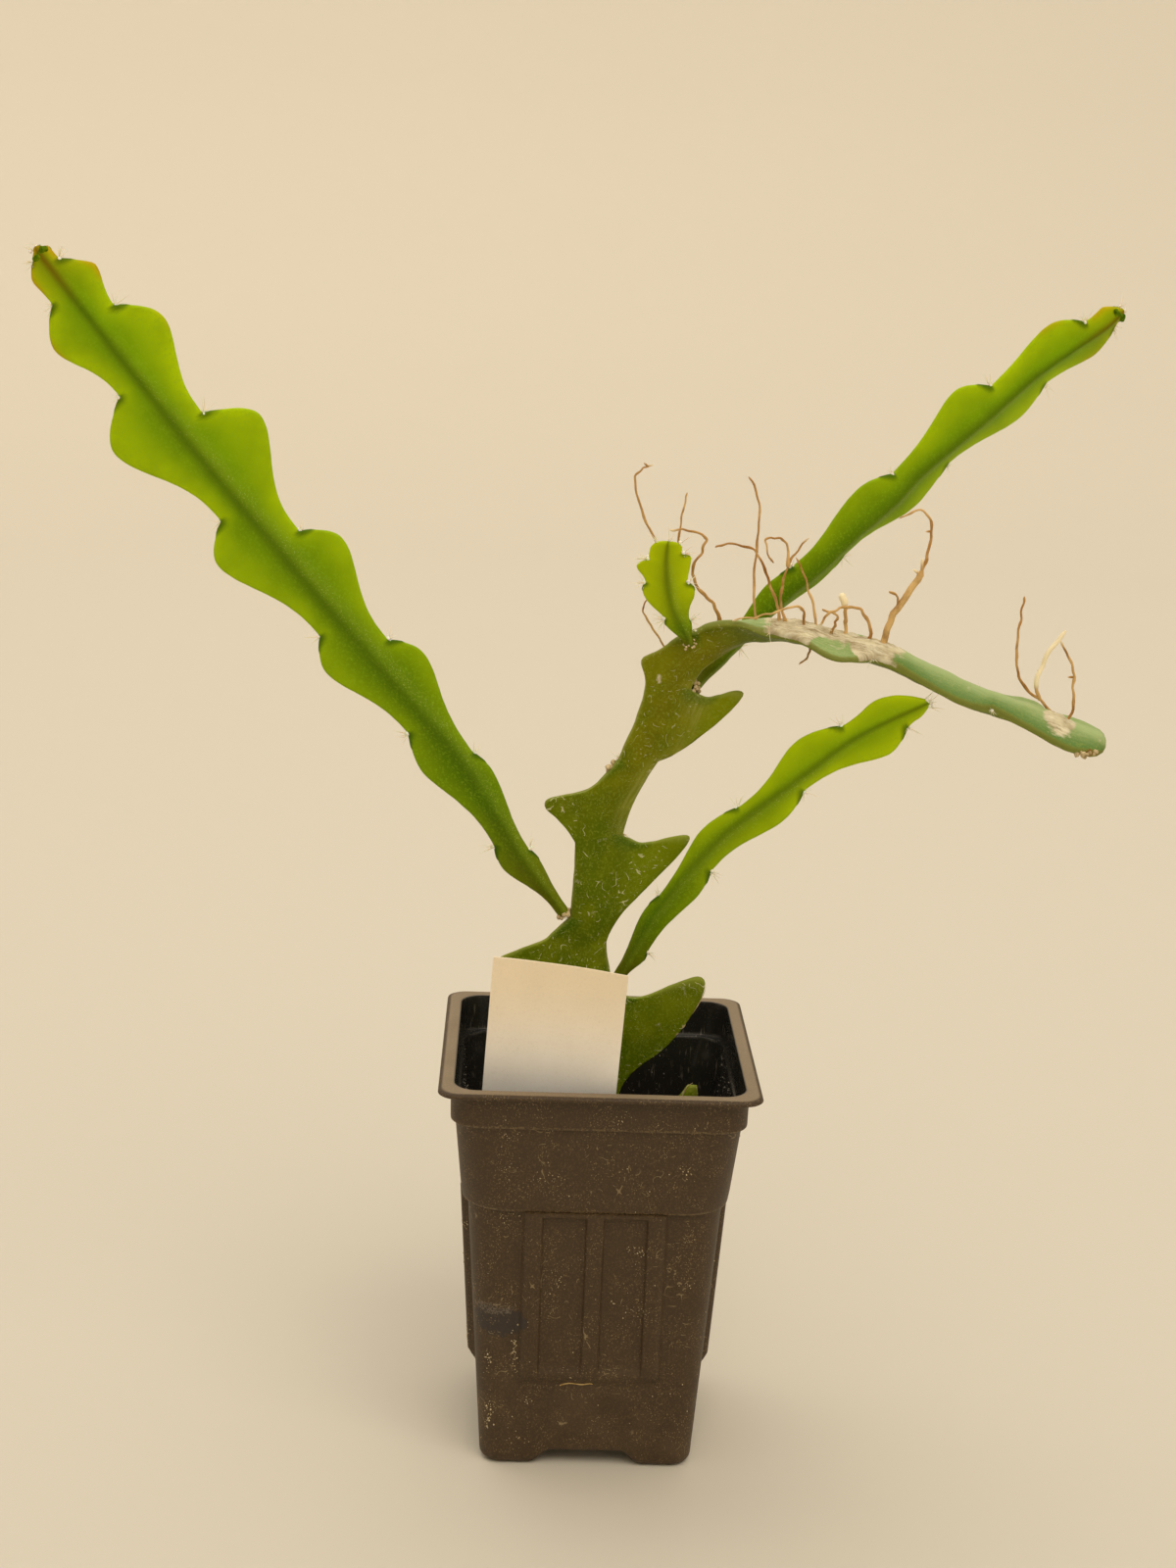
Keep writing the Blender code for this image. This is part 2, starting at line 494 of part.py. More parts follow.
class Stem:
    """A stem's centre line, blade directions and margins, worked out from its spec."""

    def __init__(self, spec):
        self.spec = spec
        rows = smooth_rows(spec.route, 24)
        self.points = rows[:, :3]
        self.turns = np.radians(rows[:, 3])
        steps = np.linalg.norm(np.diff(self.points, axis=0), axis=1)
        self.along = np.concatenate([[0.0], np.cumsum(steps)])
        self.length = self.along[-1]

    def centre(self, station):
        """The point of the midrib at a station."""
        return Vector([np.interp(station, self.along, self.points[:, i]) for i in range(3)])

    def frame(self, station):
        """Unit vectors along the stem, out of its face, and towards its right margin."""
        near = self.centre(max(station - 1.0, 0.0))
        far = self.centre(min(station + 1.0, self.length))
        tangent = (far - near).normalized()
        face = Vector((0.0, -1.0, 0.0))
        face = (face - tangent * face.dot(tangent)).normalized()
        turn = float(np.interp(station, self.along, self.turns))
        face = Matrix.Rotation(turn, 3, tangent) @ face
        return tangent, face, tangent.cross(face)

    def teeth(self, side):
        """The teeth of one side, -1 for left and 1 for right."""
        return self.spec.right if side > 0 else self.spec.left

    def areole(self, side, number):
        """Station and reach of a tooth's areole, or of the tip past the last tooth."""
        teeth = self.teeth(side)
        if number >= len(teeth):
            return self.length, self.spec.tip_waist
        tooth = teeth[number]
        return (tooth.start, tooth.waist) if isinstance(tooth, Lobe) else tooth[0]

    def margin(self, side, row):
        """Station and reach of the margin for a row of the mesh, and its tooth's next areole."""
        teeth = self.teeth(side)
        starts = [self.areole(side, number)[0] for number in range(len(teeth))]
        if row <= starts[0]:
            return row, self.areole(side, 0)[1], starts[0]
        number = max(i for i, start in enumerate(starts) if start <= row)
        end, end_reach = self.areole(side, number + 1)
        tooth = teeth[number]
        if not isinstance(tooth, Lobe):
            share = (row - tooth[0][0]) / (end - tooth[0][0])
            return (*along_outline(tooth + [(end, end_reach)], share), end)
        if row <= tooth.crest:
            u = ((row - tooth.start) / (tooth.crest - tooth.start)) ** tooth.swell
            return row, tooth.waist + (tooth.reach - tooth.waist) * u * u * (3.0 - 2.0 * u), end
        v = min(1.0, (row - tooth.crest) / (end - tooth.crest))
        return row, end_reach + (tooth.reach - end_reach) * (1.0 - v ** tooth.drop), end

    def rim(self, side, row):
        """The margin's point on one side for a row, and the way out of the blade there.

        A hook that runs past its tooth's next areole goes straight on, in the plane it has there.
        """
        station, reach, end = self.margin(side, row)
        past = max(0.0, station - end)
        tangent, face, across = self.frame(station - past)
        fold = math.radians(self.spec.fold)
        out = across * side * math.cos(fold) - face * math.sin(fold)
        return self.centre(station - past) + tangent * past + out * reach, out

    def rows(self):
        """Rows of the mesh: every areole, crest and shoulder, and steps between them."""
        marks = [0.0, self.length]
        for side in (-1, 1):
            for number, tooth in enumerate(self.teeth(side)):
                start, end = self.areole(side, number)[0], self.areole(side, number + 1)[0]
                marks.append(start)
                if isinstance(tooth, Lobe):
                    marks += [tooth.crest, tooth.crest + 0.55 * (end - tooth.crest)]
        kept = [0.0]
        for mark in sorted(marks):
            if mark - kept[-1] > ROW_MIN:
                kept.append(mark)
        kept[-1] = self.length
        rows = []
        for low, high in zip(kept, kept[1:]):
            count = max(1, round((high - low) / self.spec.row_step))
            rows += [low + (high - low) * i / count for i in range(count)]
        return rows + [self.length]

    def ring(self, station):
        """Eight points round the blade: two at each margin and two on each side of the rib."""
        _, face, across = self.frame(station)
        share = station / self.length
        half = self.spec.rib_half[0] + (self.spec.rib_half[1] - self.spec.rib_half[0]) * share
        thick = self.spec.rib_thick[0] + (self.spec.rib_thick[1] - self.spec.rib_thick[0]) * share
        right, _ = self.rim(1, station)
        left, _ = self.rim(-1, station)
        middle = self.centre(station)
        reaches = sorted(self.margin(side, station)[1] for side in (-1, 1))
        half = min(half, RIB_SHARE * reaches[0])
        thick = min(thick, RIB_SHARE * reaches[1])
        front = [right + face * EDGE_HALF, middle + across * half + face * thick,
                 middle - across * half + face * thick, left + face * EDGE_HALF]
        back = [left - face * EDGE_HALF, middle - across * half - face * thick,
                middle + across * half - face * thick, right - face * EDGE_HALF]
        return front + back


def stem_mesh(name, stem, material):
    """The blade as one closed skin, split into triangles alike on both faces."""
    rings = [stem.ring(station) for station in stem.rows()]
    verts = [point for ring in rings for point in ring]
    faces = []
    for i in range(len(rings) - 1):
        a, b = 8 * i, 8 * (i + 1)
        for j in range(8):
            k = (j + 1) % 8
            if j < 4:
                faces += [(a + j, a + k, b + k), (a + j, b + k, b + j)]
            else:
                faces += [(a + j, a + k, b + j), (a + k, b + k, b + j)]
    last = 8 * (len(rings) - 1)
    for j in range(1, 4):
        faces.append((j - 1, 8 - j, j))
        faces.append((j, 8 - j, 7 - j))
        faces.append((last + j - 1, last + j, last + 8 - j))
        faces.append((last + j, last + 7 - j, last + 8 - j))
    return mesh_object(name, verts, [tuple(reversed(face)) for face in faces], material)


def needle(name, root, direction, collection):
    """A slim three-sided needle with its blunt end sunk in the stem."""
    direction = direction.normalized()
    aside = direction.orthogonal().normalized()
    start = root - direction * NEEDLE_SINK
    verts = []
    for i in range(3):
        verts.append(start + Matrix.Rotation(2 * math.pi * i / 3, 3, direction) @ aside * NEEDLE_RADIUS)
    verts.append(root + direction * NEEDLE_LENGTH)
    mesh_object(name, verts, [(2, 1, 0), (0, 1, 3), (1, 2, 3), (2, 0, 3)], None, collection)


def add_needles(stem, collection):
    """A tuft of needles at every areole that carries no branch."""
    spread = math.radians(NEEDLE_SPREAD)
    for side in (-1, 1):
        for number in range(1, len(stem.teeth(side))):
            start, _ = stem.areole(side, number)
            if start in stem.spec.bare:
                continue
            root, out = stem.rim(side, start)
            tangent, face, _ = stem.frame(start)
            for i in range(NEEDLES_PER_AREOLE):
                angle = 2 * math.pi * (i + NEEDLE_TURN * number) / NEEDLES_PER_AREOLE
                aside = tangent * math.cos(angle) + face * math.sin(angle)
                needle("needle", root, out * math.cos(spread) + aside * math.sin(spread), collection)


def make_stem(name, spec, material, extras=None):
    """One stem with its needles, and anything else that grows from it, fused to it."""
    stem = Stem(spec)
    obj = stem_mesh(name, stem, material)
    growths = new_collection(name + "_growths")
    add_needles(stem, growths)
    if extras:
        extras(growths)
    apply_boolean(obj, "UNION", growths)
    return obj


def aerial_root(foot_radius, tip_radius, route, collection):
    """A thin tapering root along a smooth route, closed by a blunt point."""
    points = [Vector(p) for p in smooth_rows(route, ROOT_SPANS)]
    side = (points[1] - points[0]).orthogonal().normalized()
    verts = []
    for i, point in enumerate(points):
        before = points[max(i - 1, 0)]
        after = points[min(i + 1, len(points) - 1)]
        tangent = (after - before).normalized()
        side = (side - tangent * side.dot(tangent)).normalized()
        share = i / (len(points) - 1)
        radius = foot_radius + (tip_radius - foot_radius) * share
        for j in range(ROOT_SIDES):
            turn = Matrix.Rotation(2 * math.pi * j / ROOT_SIDES, 3, tangent)
            verts.append(point + turn @ side * radius)
    faces = loft_faces(len(points), ROOT_SIDES, True, False)
    tip = len(verts)
    verts.append(points[-1] + (points[-1] - points[-2]).normalized() * tip_radius * 1.5)
    last = tip - ROOT_SIDES
    faces += [(last + j, last + (j + 1) % ROOT_SIDES, tip) for j in range(ROOT_SIDES)]
    mesh_object("aerial_root", verts, faces, None, collection)


def add_aerial_roots(collection):
    """All the roots that the main stem has put out into the air."""
    for foot_radius, tip_radius, route in AERIAL_ROOTS:
        aerial_root(foot_radius, tip_radius, route, collection)


def main():
    clear_scene()
    make_pot()
    make_soil()
    paper = make_material("label_paper", (0.74, 0.62, 0.44), 0.8)
    card_solid("label_card", 0.0, None, paper)
    old_green = make_material("old_stem_green", (0.07, 0.12, 0.02), 0.5)
    young_green = make_material("young_stem_green", (0.22, 0.42, 0.01), 0.42)
    make_stem("main_stem", MAIN, old_green, add_aerial_roots)
    make_stem("left_branch", LEFT_BRANCH, young_green)
    make_stem("right_branch", RIGHT_BRANCH, young_green)
    make_stem("low_branch", LOW_BRANCH, young_green)
    make_stem("top_shoot", TOP_SHOOT, young_green)


if __name__ == "__main__":
    main()
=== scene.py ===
"""Looks of the potted ric rac cactus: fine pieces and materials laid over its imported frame.

Tables are in millimetres from the middle of the pot's underside, as in the part's own source, and
POT_CENTRE moves them to the frame.  +Z is up, the viewer stands at -Y and +X is to the right.
"""
import math
import random
from functools import partial
from typing import NamedTuple

import bmesh
import bpy
import numpy as np
from bpy.props import FloatProperty, FloatVectorProperty, IntProperty, PointerProperty
from mathutils import Matrix, Vector, noise


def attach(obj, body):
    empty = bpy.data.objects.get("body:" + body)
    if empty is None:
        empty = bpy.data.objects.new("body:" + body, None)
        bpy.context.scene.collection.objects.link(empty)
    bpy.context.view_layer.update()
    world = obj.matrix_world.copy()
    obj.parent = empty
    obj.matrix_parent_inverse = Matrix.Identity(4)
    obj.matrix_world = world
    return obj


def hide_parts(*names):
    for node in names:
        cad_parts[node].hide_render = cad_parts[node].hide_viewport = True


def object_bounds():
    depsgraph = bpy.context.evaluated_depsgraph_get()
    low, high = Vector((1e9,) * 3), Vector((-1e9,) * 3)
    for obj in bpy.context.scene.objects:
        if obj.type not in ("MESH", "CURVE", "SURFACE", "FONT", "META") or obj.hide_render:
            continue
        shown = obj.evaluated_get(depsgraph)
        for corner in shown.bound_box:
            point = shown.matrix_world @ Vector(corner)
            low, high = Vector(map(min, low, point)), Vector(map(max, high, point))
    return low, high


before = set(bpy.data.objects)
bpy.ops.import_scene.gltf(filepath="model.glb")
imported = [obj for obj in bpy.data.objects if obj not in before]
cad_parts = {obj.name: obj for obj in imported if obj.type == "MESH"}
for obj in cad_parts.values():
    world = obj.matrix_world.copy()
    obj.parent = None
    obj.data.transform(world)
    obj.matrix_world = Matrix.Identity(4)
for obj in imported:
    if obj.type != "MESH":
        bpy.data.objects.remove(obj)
CAD_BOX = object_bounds()

bl_info = {
    "name": "Ric Rac Cactus",
    "version": (1, 0, 0),
    "blender": (4, 5, 0),
    "location": "3D View > Sidebar > Cactus",
    "description": "Dresses a packed potted cactus with its fine pieces and materials",
    "category": "Object",
}

MM = 0.001
POT_CENTRE = (6.3, 0.0)
BODY = "root"

# A Mix node's inputs between its factor and its colours, and its colour output
UNUSED, COLOUR_OUT = (None,) * 5, 2

# The kinds of node that come up most
MATH, VECTORS, NOISE = "ShaderNodeMath", "ShaderNodeVectorMath", "ShaderNodeTexNoise"
RANGE, BUMP = "ShaderNodeMapRange", "ShaderNodeBump"
NAMED_NUMBER, RANDOM = "GeometryNodeInputNamedAttribute", "FunctionNodeRandomValue"

# Pot
POT_HEIGHT = 119.0
BASE_HALF = 30.7
STEP_Z = 82.0
LOWER_TOP_HALF = 36.1
STEP_RADIUS = 13.5
UPPER_BASE_HALF = 38.0
COLLAR_Z = 108.0
UPPER_TOP_HALF = 40.3
COLLAR_HALF = 41.6
RIM_HALF = 45.0
RIM_THICK = 1.2
WALL = 1.1
FLOOR_Z = 4.4
FOOT_RISE = 4.2
FOOT_ROUND = 2.8
ARCH_EDGES = (10.0, 16.4)
ARCH_FADE = 10.0
DRAIN_RADIUS = 3.0
DRAIN_OFFSET = 15.0
PAD_HALF = 20.3
PAD_OUT = 2.2
PAD_FOOT = (27.0, 30.5)
PAD_RISE = (26.4, 31.1)
PAD_TOP = 81.5
PANEL_EDGES = (2.5, 14.7)
PANEL_ENDS = (32.5, 80.2)
PANEL_DEPTH = 1.3
CORNER_STEPS = 9

# The dark scar on the pot's front, and the crumbs along its top: middle and size
SCAR = ((-27.0, -34.6, 46.5), (10.0, 8.0, 5.0))
SCAR_CRUMBS = ((-28.5, -34.6, 50.5), (7.0, 8.0, 1.8))

# Grit crowded on the front of the pot: middle x, z, half width, half height, grains, size over the usual
GRIT_CROWDS = ((5.3, 112.0, 3.0, 2.0, 22, 0.9), (-24.2, 105.4, 2.5, 1.5, 14, 1.0),
               (25.0, 95.3, 2.5, 2.0, 14, 1.1), (-24.7, 96.2, 2.0, 2.0, 9, 0.9),
               (-13.9, 93.0, 5.0, 1.2, 16, 0.8), (-25.2, 79.8, 4.0, 0.8, 12, 1.1),
               (12.2, 70.8, 3.2, 2.2, 26, 1.0), (-9.0, 59.5, 3.0, 2.0, 12, 0.8),
               (12.4, 51.4, 3.0, 2.2, 22, 1.0), (5.8, 54.0, 0.6, 0.8, 3, 1.6),
               (-21.5, 37.0, 1.1, 6.0, 46, 1.4), (-29.0, 34.0, 1.0, 2.8, 18, 1.3),
               (-28.6, 16.0, 1.2, 5.5, 34, 1.4), (-17.3, 21.4, 2.0, 1.5, 10, 0.9),
               (-19.3, 8.8, 3.5, 2.5, 14, 1.0), (27.0, 74.0, 1.5, 1.5, 6, 1.0),
               (-5.5, 33.0, 2.0, 3.0, 8, 0.8), (28.0, 60.0, 1.2, 1.5, 6, 1.0))

# Other grit: crowds on each other side, grains in one, and pale specks on each inner wall
SIDE_CROWDS, CROWD_GRAINS, INNER_SPECKS = 12, 16, 130
GRIT_SEED, SPECK_SEED, CORK_SEED, BUD_SEED = 41, 19, 23, 7

# Soil and label
SOIL_TOP = 86.0
SOIL_BUMP = 0.9
SOIL_HALF = 36.4
SOIL_RINGS = 40
CARD_SIZE = (37.5, 73.0)
CARD_TOP_MIDDLE = (-12.2, -36.0, 154.1)
CARD_YAW = -9.2
CARD_LEAN = 6.0
CARD_TILT = 3.9

# Camera and stage
CAMERA_SPOT = (-26.0, -676.9, 361.1)
CAMERA_PITCH = 13.65
CAMERA_YAW = 1.72
CAMERA_ROLL = 2.18
CAMERA_LENS = 56.315
SENSOR = 36.0
DISH_SIDES = 96
# Radius and height of each ring of the floor, in metres
DISH = ((0.02, 0.0), (0.4, 0.0), (1.0, 0.0), (1.8, 0.0), (2.1, 0.03), (2.4, 0.12), (2.65, 0.28),
        (2.85, 0.5), (3.0, 0.8), (3.1, 1.2), (3.15, 1.8), (3.15, 2.6))

# Section of a blade: shares of the way from the midrib out to the margin
SECTION = (0.0, 0.05, 0.11, 0.19, 0.29, 0.41, 0.54, 0.67, 0.79, 0.88, 0.945, 0.985, 1.0)
RIB_SHARE = 0.65        # a midrib is no wider or thicker than this share of the blade's reach
RIB_SPREAD = 1.35       # how far its slope runs out past its own half width
RIB_FALL = 2.6          # how steep that slope is
EDGE_THINNING = 0.35    # how much thicker than its margin a blade is by the rib
RIM_ROUND = 0.9         # how far in from the margin the rounding starts
HOOK_BEND = 4.5         # how much only the outer part of a row bends to follow a hook
LUMP_HEIGHT = 0.16      # share of its thickness by which a blade is uneven
LUMP_PITCH = 0.16       # how many such lumps there are in a millimetre
ROUTE_STEPS = 24
HOOK_STEPS = 12


class Lobe(NamedTuple):
    """One tooth of a margin, in millimetres along the stem and out from its midrib."""
    start: float        # areole at the lower end of the tooth
    waist: float        # reach of the margin at that areole
    crest: float        # where the tooth stands out furthest
    reach: float        # how far it stands out there
    swell: float = 1.4  # above 1, the tooth swells late
    drop: float = 1.9   # above 1, its far shoulder is full, below 1 it is hollow


class StemSpec(NamedTuple):
    """A flat jointed stem: its route, its two toothed margins and its midrib.

    A margin is a list of teeth.  A tooth is a Lobe, or where it is hooked it is its outline: points
    of (station along the stem, reach from the midrib), from its areole to just short of the next.
    """
    route: list         # x, y, z and the turn of the blade in degrees
    left: list
    right: list
    rib_half: tuple     # half width of the midrib at the foot and at the tip
    rib_thick: tuple    # half thickness there
    fold: float         # degrees that each half folds back from flat
    tip_waist: float = 1.4
    row_step: float = 0.9       # spacing of the rows of the mesh
    edge_half: float = 0.55     # half thickness of the margin
    bare: tuple = ()            # areoles where a branch grows
    blush: float = 0.0          # how orange the corners of the newest teeth are
    gold: float = 0.0           # how far its green is turned to yellow by the light behind it


MAIN = StemSpec(
    route=[(-1, 4, 60, 0), (-1, 4, 85, 0), (-1, 4, 107, 0), (-1, 3, 122, 0), (-1.5, 3, 136, 0),
           (-3, 3, 149, 0), (-4, 2, 160, 0), (-4, 2, 171, 0), (-2.5, 2, 182, 0), (1, 1, 193, 0),
           (6, 1, 203, 0), (11.5, 0, 213, 0), (15.5, 0, 224, 0), (18.5, 0, 230, 0),
           (22.5, 0, 235, 5), (28, -1, 239, 26), (34, -3, 242, 56), (43, -5, 243.5, 84),
           (52, -8, 243.5, 94), (60, -10, 241.5, 98), (74, -13, 239, 98), (87, -16, 234, 98),
           (100, -19, 229, 98), (113, -22, 225.3, 102), (123.5, -24.5, 221.7, 108),
           (131.5, -26.5, 219, 112)],
    left=[[(28, 5), (38, 12), (46, 16), (51, 13)],
          [(56, 6), (66, 12), (75, 21), (82, 27.5), (86, 28), (88.5, 21), (90.5, 14), (93.3, 10)],
          [(97, 5.6), (105, 4.8), (113, 4.8), (120.4, 6.2), (123, 9), (124, 13), (125, 16.3),
           (127, 16.7), (129, 13.5), (132, 8), (135.4, 5.4), (140, 4)],
          [(144.5, 3.3), (150, 4.4), (158, 5.3), (166, 5.9), (169.5, 7.4), (172, 10.1),
           (173.3, 10.5), (174.5, 9.7), (177.5, 7.7), (182, 6.6)],
          [(186, 5.8), (194, 8), (200, 9.5), (204, 8)],
          [(206, 6), (214, 9), (222, 13), (227, 13.5), (232, 10)],
          [(235, 6), (246, 8), (258, 11.5), (264, 11), (268, 8)],
          [(270, 6), (281, 9), (289, 10), (295, 9)]],
    right=[[(27, 5), (31, 13), (35.5, 23.5), (39, 30), (42.5, 31.5), (45.3, 31), (46.2, 29.2),
            (44.5, 27.6), (41.7, 26.4), (39, 25.3), (38.2, 21), (38, 13)],
           [(38, 7), (46, 9.5), (55, 15.7), (61, 23.7), (71, 30.7), (75.5, 32.3), (77.4, 30),
            (75.5, 23.5), (72.3, 14.6), (71.8, 10)],
           [(75, 5.2), (87, 4.4), (94.5, 5.8), (100.5, 8.6), (106, 12.7), (111, 17.2),
            (116.5, 21.5), (123, 24.6), (127.5, 26.2), (128.7, 24.8), (126.5, 20), (124, 16),
            (122.4, 12.5)],
           [(123.5, 7.4), (136, 6.7), (152, 6.8), (159, 9), (164, 13.9), (171.5, 17.7), (176, 19.5),
            (178.4, 19.3), (178.2, 17.3), (176.3, 15), (172.9, 11.8), (172, 9)],
           [(172, 5.8), (182, 5.2), (194, 6), (203, 10), (209, 11), (213, 8)],
           [(214, 5.5), (222, 8), (229, 10.5), (234, 9)],
           [(237, 5.5), (248, 8.5), (257, 9.5), (262, 8)],
           [(265, 5.5), (272, 8), (277.5, 10.6), (281, 11), (283, 9.5), (283.8, 7.5)],
           [(284, 5.6), (289, 8), (295, 8.2)]],
    tip_waist=6.5, rib_half=(3.4, 2.8), rib_thick=(3.0, 2.9), fold=0.0, row_step=0.55,
    edge_half=0.85, bare=(75, 97, 172, 186))

LEFT_BRANCH = StemSpec(
    route=[(-11.1, 2, 157.5, 0), (-24, 0, 175.5, 4), (-34, -2, 192, 4), (-44, -4, 207, 4),
           (-57, -6, 222, 4), (-76, -9, 244, 4), (-97, -12, 268.5, 2), (-115, -15, 290, 0),
           (-129, -17, 307.5, -2), (-142.5, -19, 324.5, -4), (-151.5, -20, 336, -4),
           (-155, -20, 340.3, -4)],
    left=[Lobe(1, 1.8, 22, 6.9), Lobe(28, 5.4, 59, 11.4), Lobe(71, 7.2, 99, 13.3),
          Lobe(108, 7.8, 140.5, 16.6), Lobe(149.5, 7.8, 180.5, 18.7), Lobe(191.5, 7.6, 211, 13.8),
          Lobe(220.5, 6.3, 228, 6.8), Lobe(232.2, 3, 233.4, 2.6)],
    right=[Lobe(1, 1.8, 18, 3.4), Lobe(22, 2.6, 48, 5.4), Lobe(55, 3.6, 86, 11),
           Lobe(95, 6, 125, 14.6), Lobe(134, 7, 165, 19), Lobe(175, 7.4, 201, 15.2),
           Lobe(211, 6.8, 222.4, 9.6, 1.2, 1.3), Lobe(228.8, 2.9, 233, 2.8)],
    rib_half=(2.2, 1.6), rib_thick=(2.2, 1.1), fold=6.0, blush=0.55)

RIGHT_BRANCH = StemSpec(
    route=[(23.6, 2, 225.3, 10), (28, 7.6, 229.4, 20), (34, 12, 235, 28), (46, 16.5, 247, 28),
           (58.5, 18, 258, 28), (69.5, 21, 268.5, 28), (79.5, 24, 277, 28), (88, 27, 286, 28),
           (104.5, 31, 300, 28), (121.5, 35, 315, 28), (139, 38, 327.5, 28), (144, 39, 332.3, 28)],
    left=[Lobe(1, 1.8, 11, 3.4), Lobe(15, 2.6, 38, 6.2), Lobe(46, 5.6, 75, 10.2),
          Lobe(86, 6.1, 114, 12.8), Lobe(123.5, 6.6, 146.5, 10.2), Lobe(156, 4.7, 163, 5.2)],
    right=[Lobe(1, 1.8, 12, 2.6), Lobe(20, 2.5, 50, 5.2), Lobe(59.5, 3.7, 89, 9.4),
           Lobe(101, 5.3, 127, 10.7), Lobe(138, 6.2, 155, 8.2), Lobe(163.4, 2.6, 166, 2)],
    rib_half=(2.0, 1.4), rib_thick=(2.0, 1.1), fold=14.0, blush=0.4)

LOW_BRANCH = StemSpec(
    route=[(5.0, 2, 138, -6), (8, 0, 144.5, -12), (13, -3, 155.5, -16), (19, -6, 166.5, -16),
           (26.5, -9, 177.5, -16), (34.5, -12, 187.5, -14), (48.5, -16, 200.5, -12),
           (56, -18, 207.5, -10), (65, -20, 215.5, -8), (74.5, -22, 222, -6), (85, -24, 228, -4)],
    left=[Lobe(1, 1.8, 23, 3.8), Lobe(30, 2.6, 53, 5.8), Lobe(65, 3.8, 90, 8.9),
          Lobe(102.5, 4.8, 113.5, 6.6)],
    right=[Lobe(1, 1.9, 10, 3.9), Lobe(12.5, 3.6, 37.5, 6.3), Lobe(46, 4.4, 72, 7),
           Lobe(83, 3.6, 109.5, 8.9), Lobe(118.2, 4, 121, 3.3)],
    rib_half=(2.0, 1.4), rib_thick=(1.9, 1.1), fold=12.0, gold=0.2)

TOP_SHOOT = StemSpec(
    route=[(21, -4.8, 239, 0), (18.4, -6.4, 244.4, 0), (15.9, -8, 249.2, 0),
           (14.2, -8.6, 255.2, 0), (13.3, -9, 262.4, 0), (13.4, -9.2, 267.2, 0)],
    left=[Lobe(1, 1.6, 8.1, 3.9, 0.9), Lobe(9.8, 3.4, 18, 7.3, 0.9, 2.5),
          Lobe(19.8, 6.1, 24.2, 8.3, 1.2, 2.5), Lobe(26, 5, 28.4, 4.7)],
    right=[Lobe(1, 1.3, 4.7, 2.6), Lobe(6.2, 2.6, 15.5, 7, 0.9, 2.5),
           Lobe(18.3, 5.5, 26, 6.9, 0.9, 2.5), Lobe(27.6, 4.4, 29, 4.1)],
    tip_waist=3.5, rib_half=(1.5, 1.2), rib_thick=(1.5, 1.0), fold=8.0, row_step=0.4,
    edge_half=0.5, gold=0.55)

YOUNG_STEMS = {"left_branch": LEFT_BRANCH, "right_branch": RIGHT_BRANCH,
               "low_branch": LOW_BRANCH, "top_shoot": TOP_SHOOT}

# Cork round each branch's foot: stem, radius of the ring, number of lumps and their size
BRANCH_FEET = ((LEFT_BRANCH, 1.7, 11, 0.85), (RIGHT_BRANCH, 1.7, 10, 0.8), (LOW_BRANCH, 1.6, 8, 0.6),
               (TOP_SHOOT, 1.7, 16, 0.38))

# Other cork on the old stem: station, distance across, number of lumps and their size
CALLUS_SPOTS = ((141.5, -4.2, 7, 0.75), (172.5, 7.0, 4, 0.8), (299.3, -6.2, 6, 0.8), (297.3, -8.2, 6, 0.8),
                (287.5, -1.0, 5, 0.6), (124.0, 7.4, 3, 0.5))

# Thin cork along the old stem's margin: side, rows it runs between, and radius
MARGIN_CORK = ((1, 52.0, 53.0, 0.34), (1, 53.3, 54.4, 0.38), (1, 33.3, 35.4, 0.3), (1, 56.0, 60.0, 0.16))

# Cork along the arch: stations, and how far across its two edges lie there
CRUST_LOW = ((203, 216, 219, 224, 228, 231, 243), (-14, -14, -5.5, -3.8, -5.0, -14, -14))
CRUST_HIGH = ((203, 226, 229, 236, 240, 243), (14, 14, 4.5, 4.5, 14, 14))

# Spots on the old stem: station and distance across, and size both ways
END_CRUST = ((288.5, -1.5), (6.5, 7.5))
BEND_SCAR = ((171.0, -4.0), (2.0, 1.1))
DEAD_SPOTS = (((206.5, -8.5), (2.2, 2.8)), ((299.5, -8.0), (2.8, 2.6)))

# How many more bristles than usual a stem's areoles have
VIGOUR = {"old_stem": 0.7, "top_shoot": 1.6}

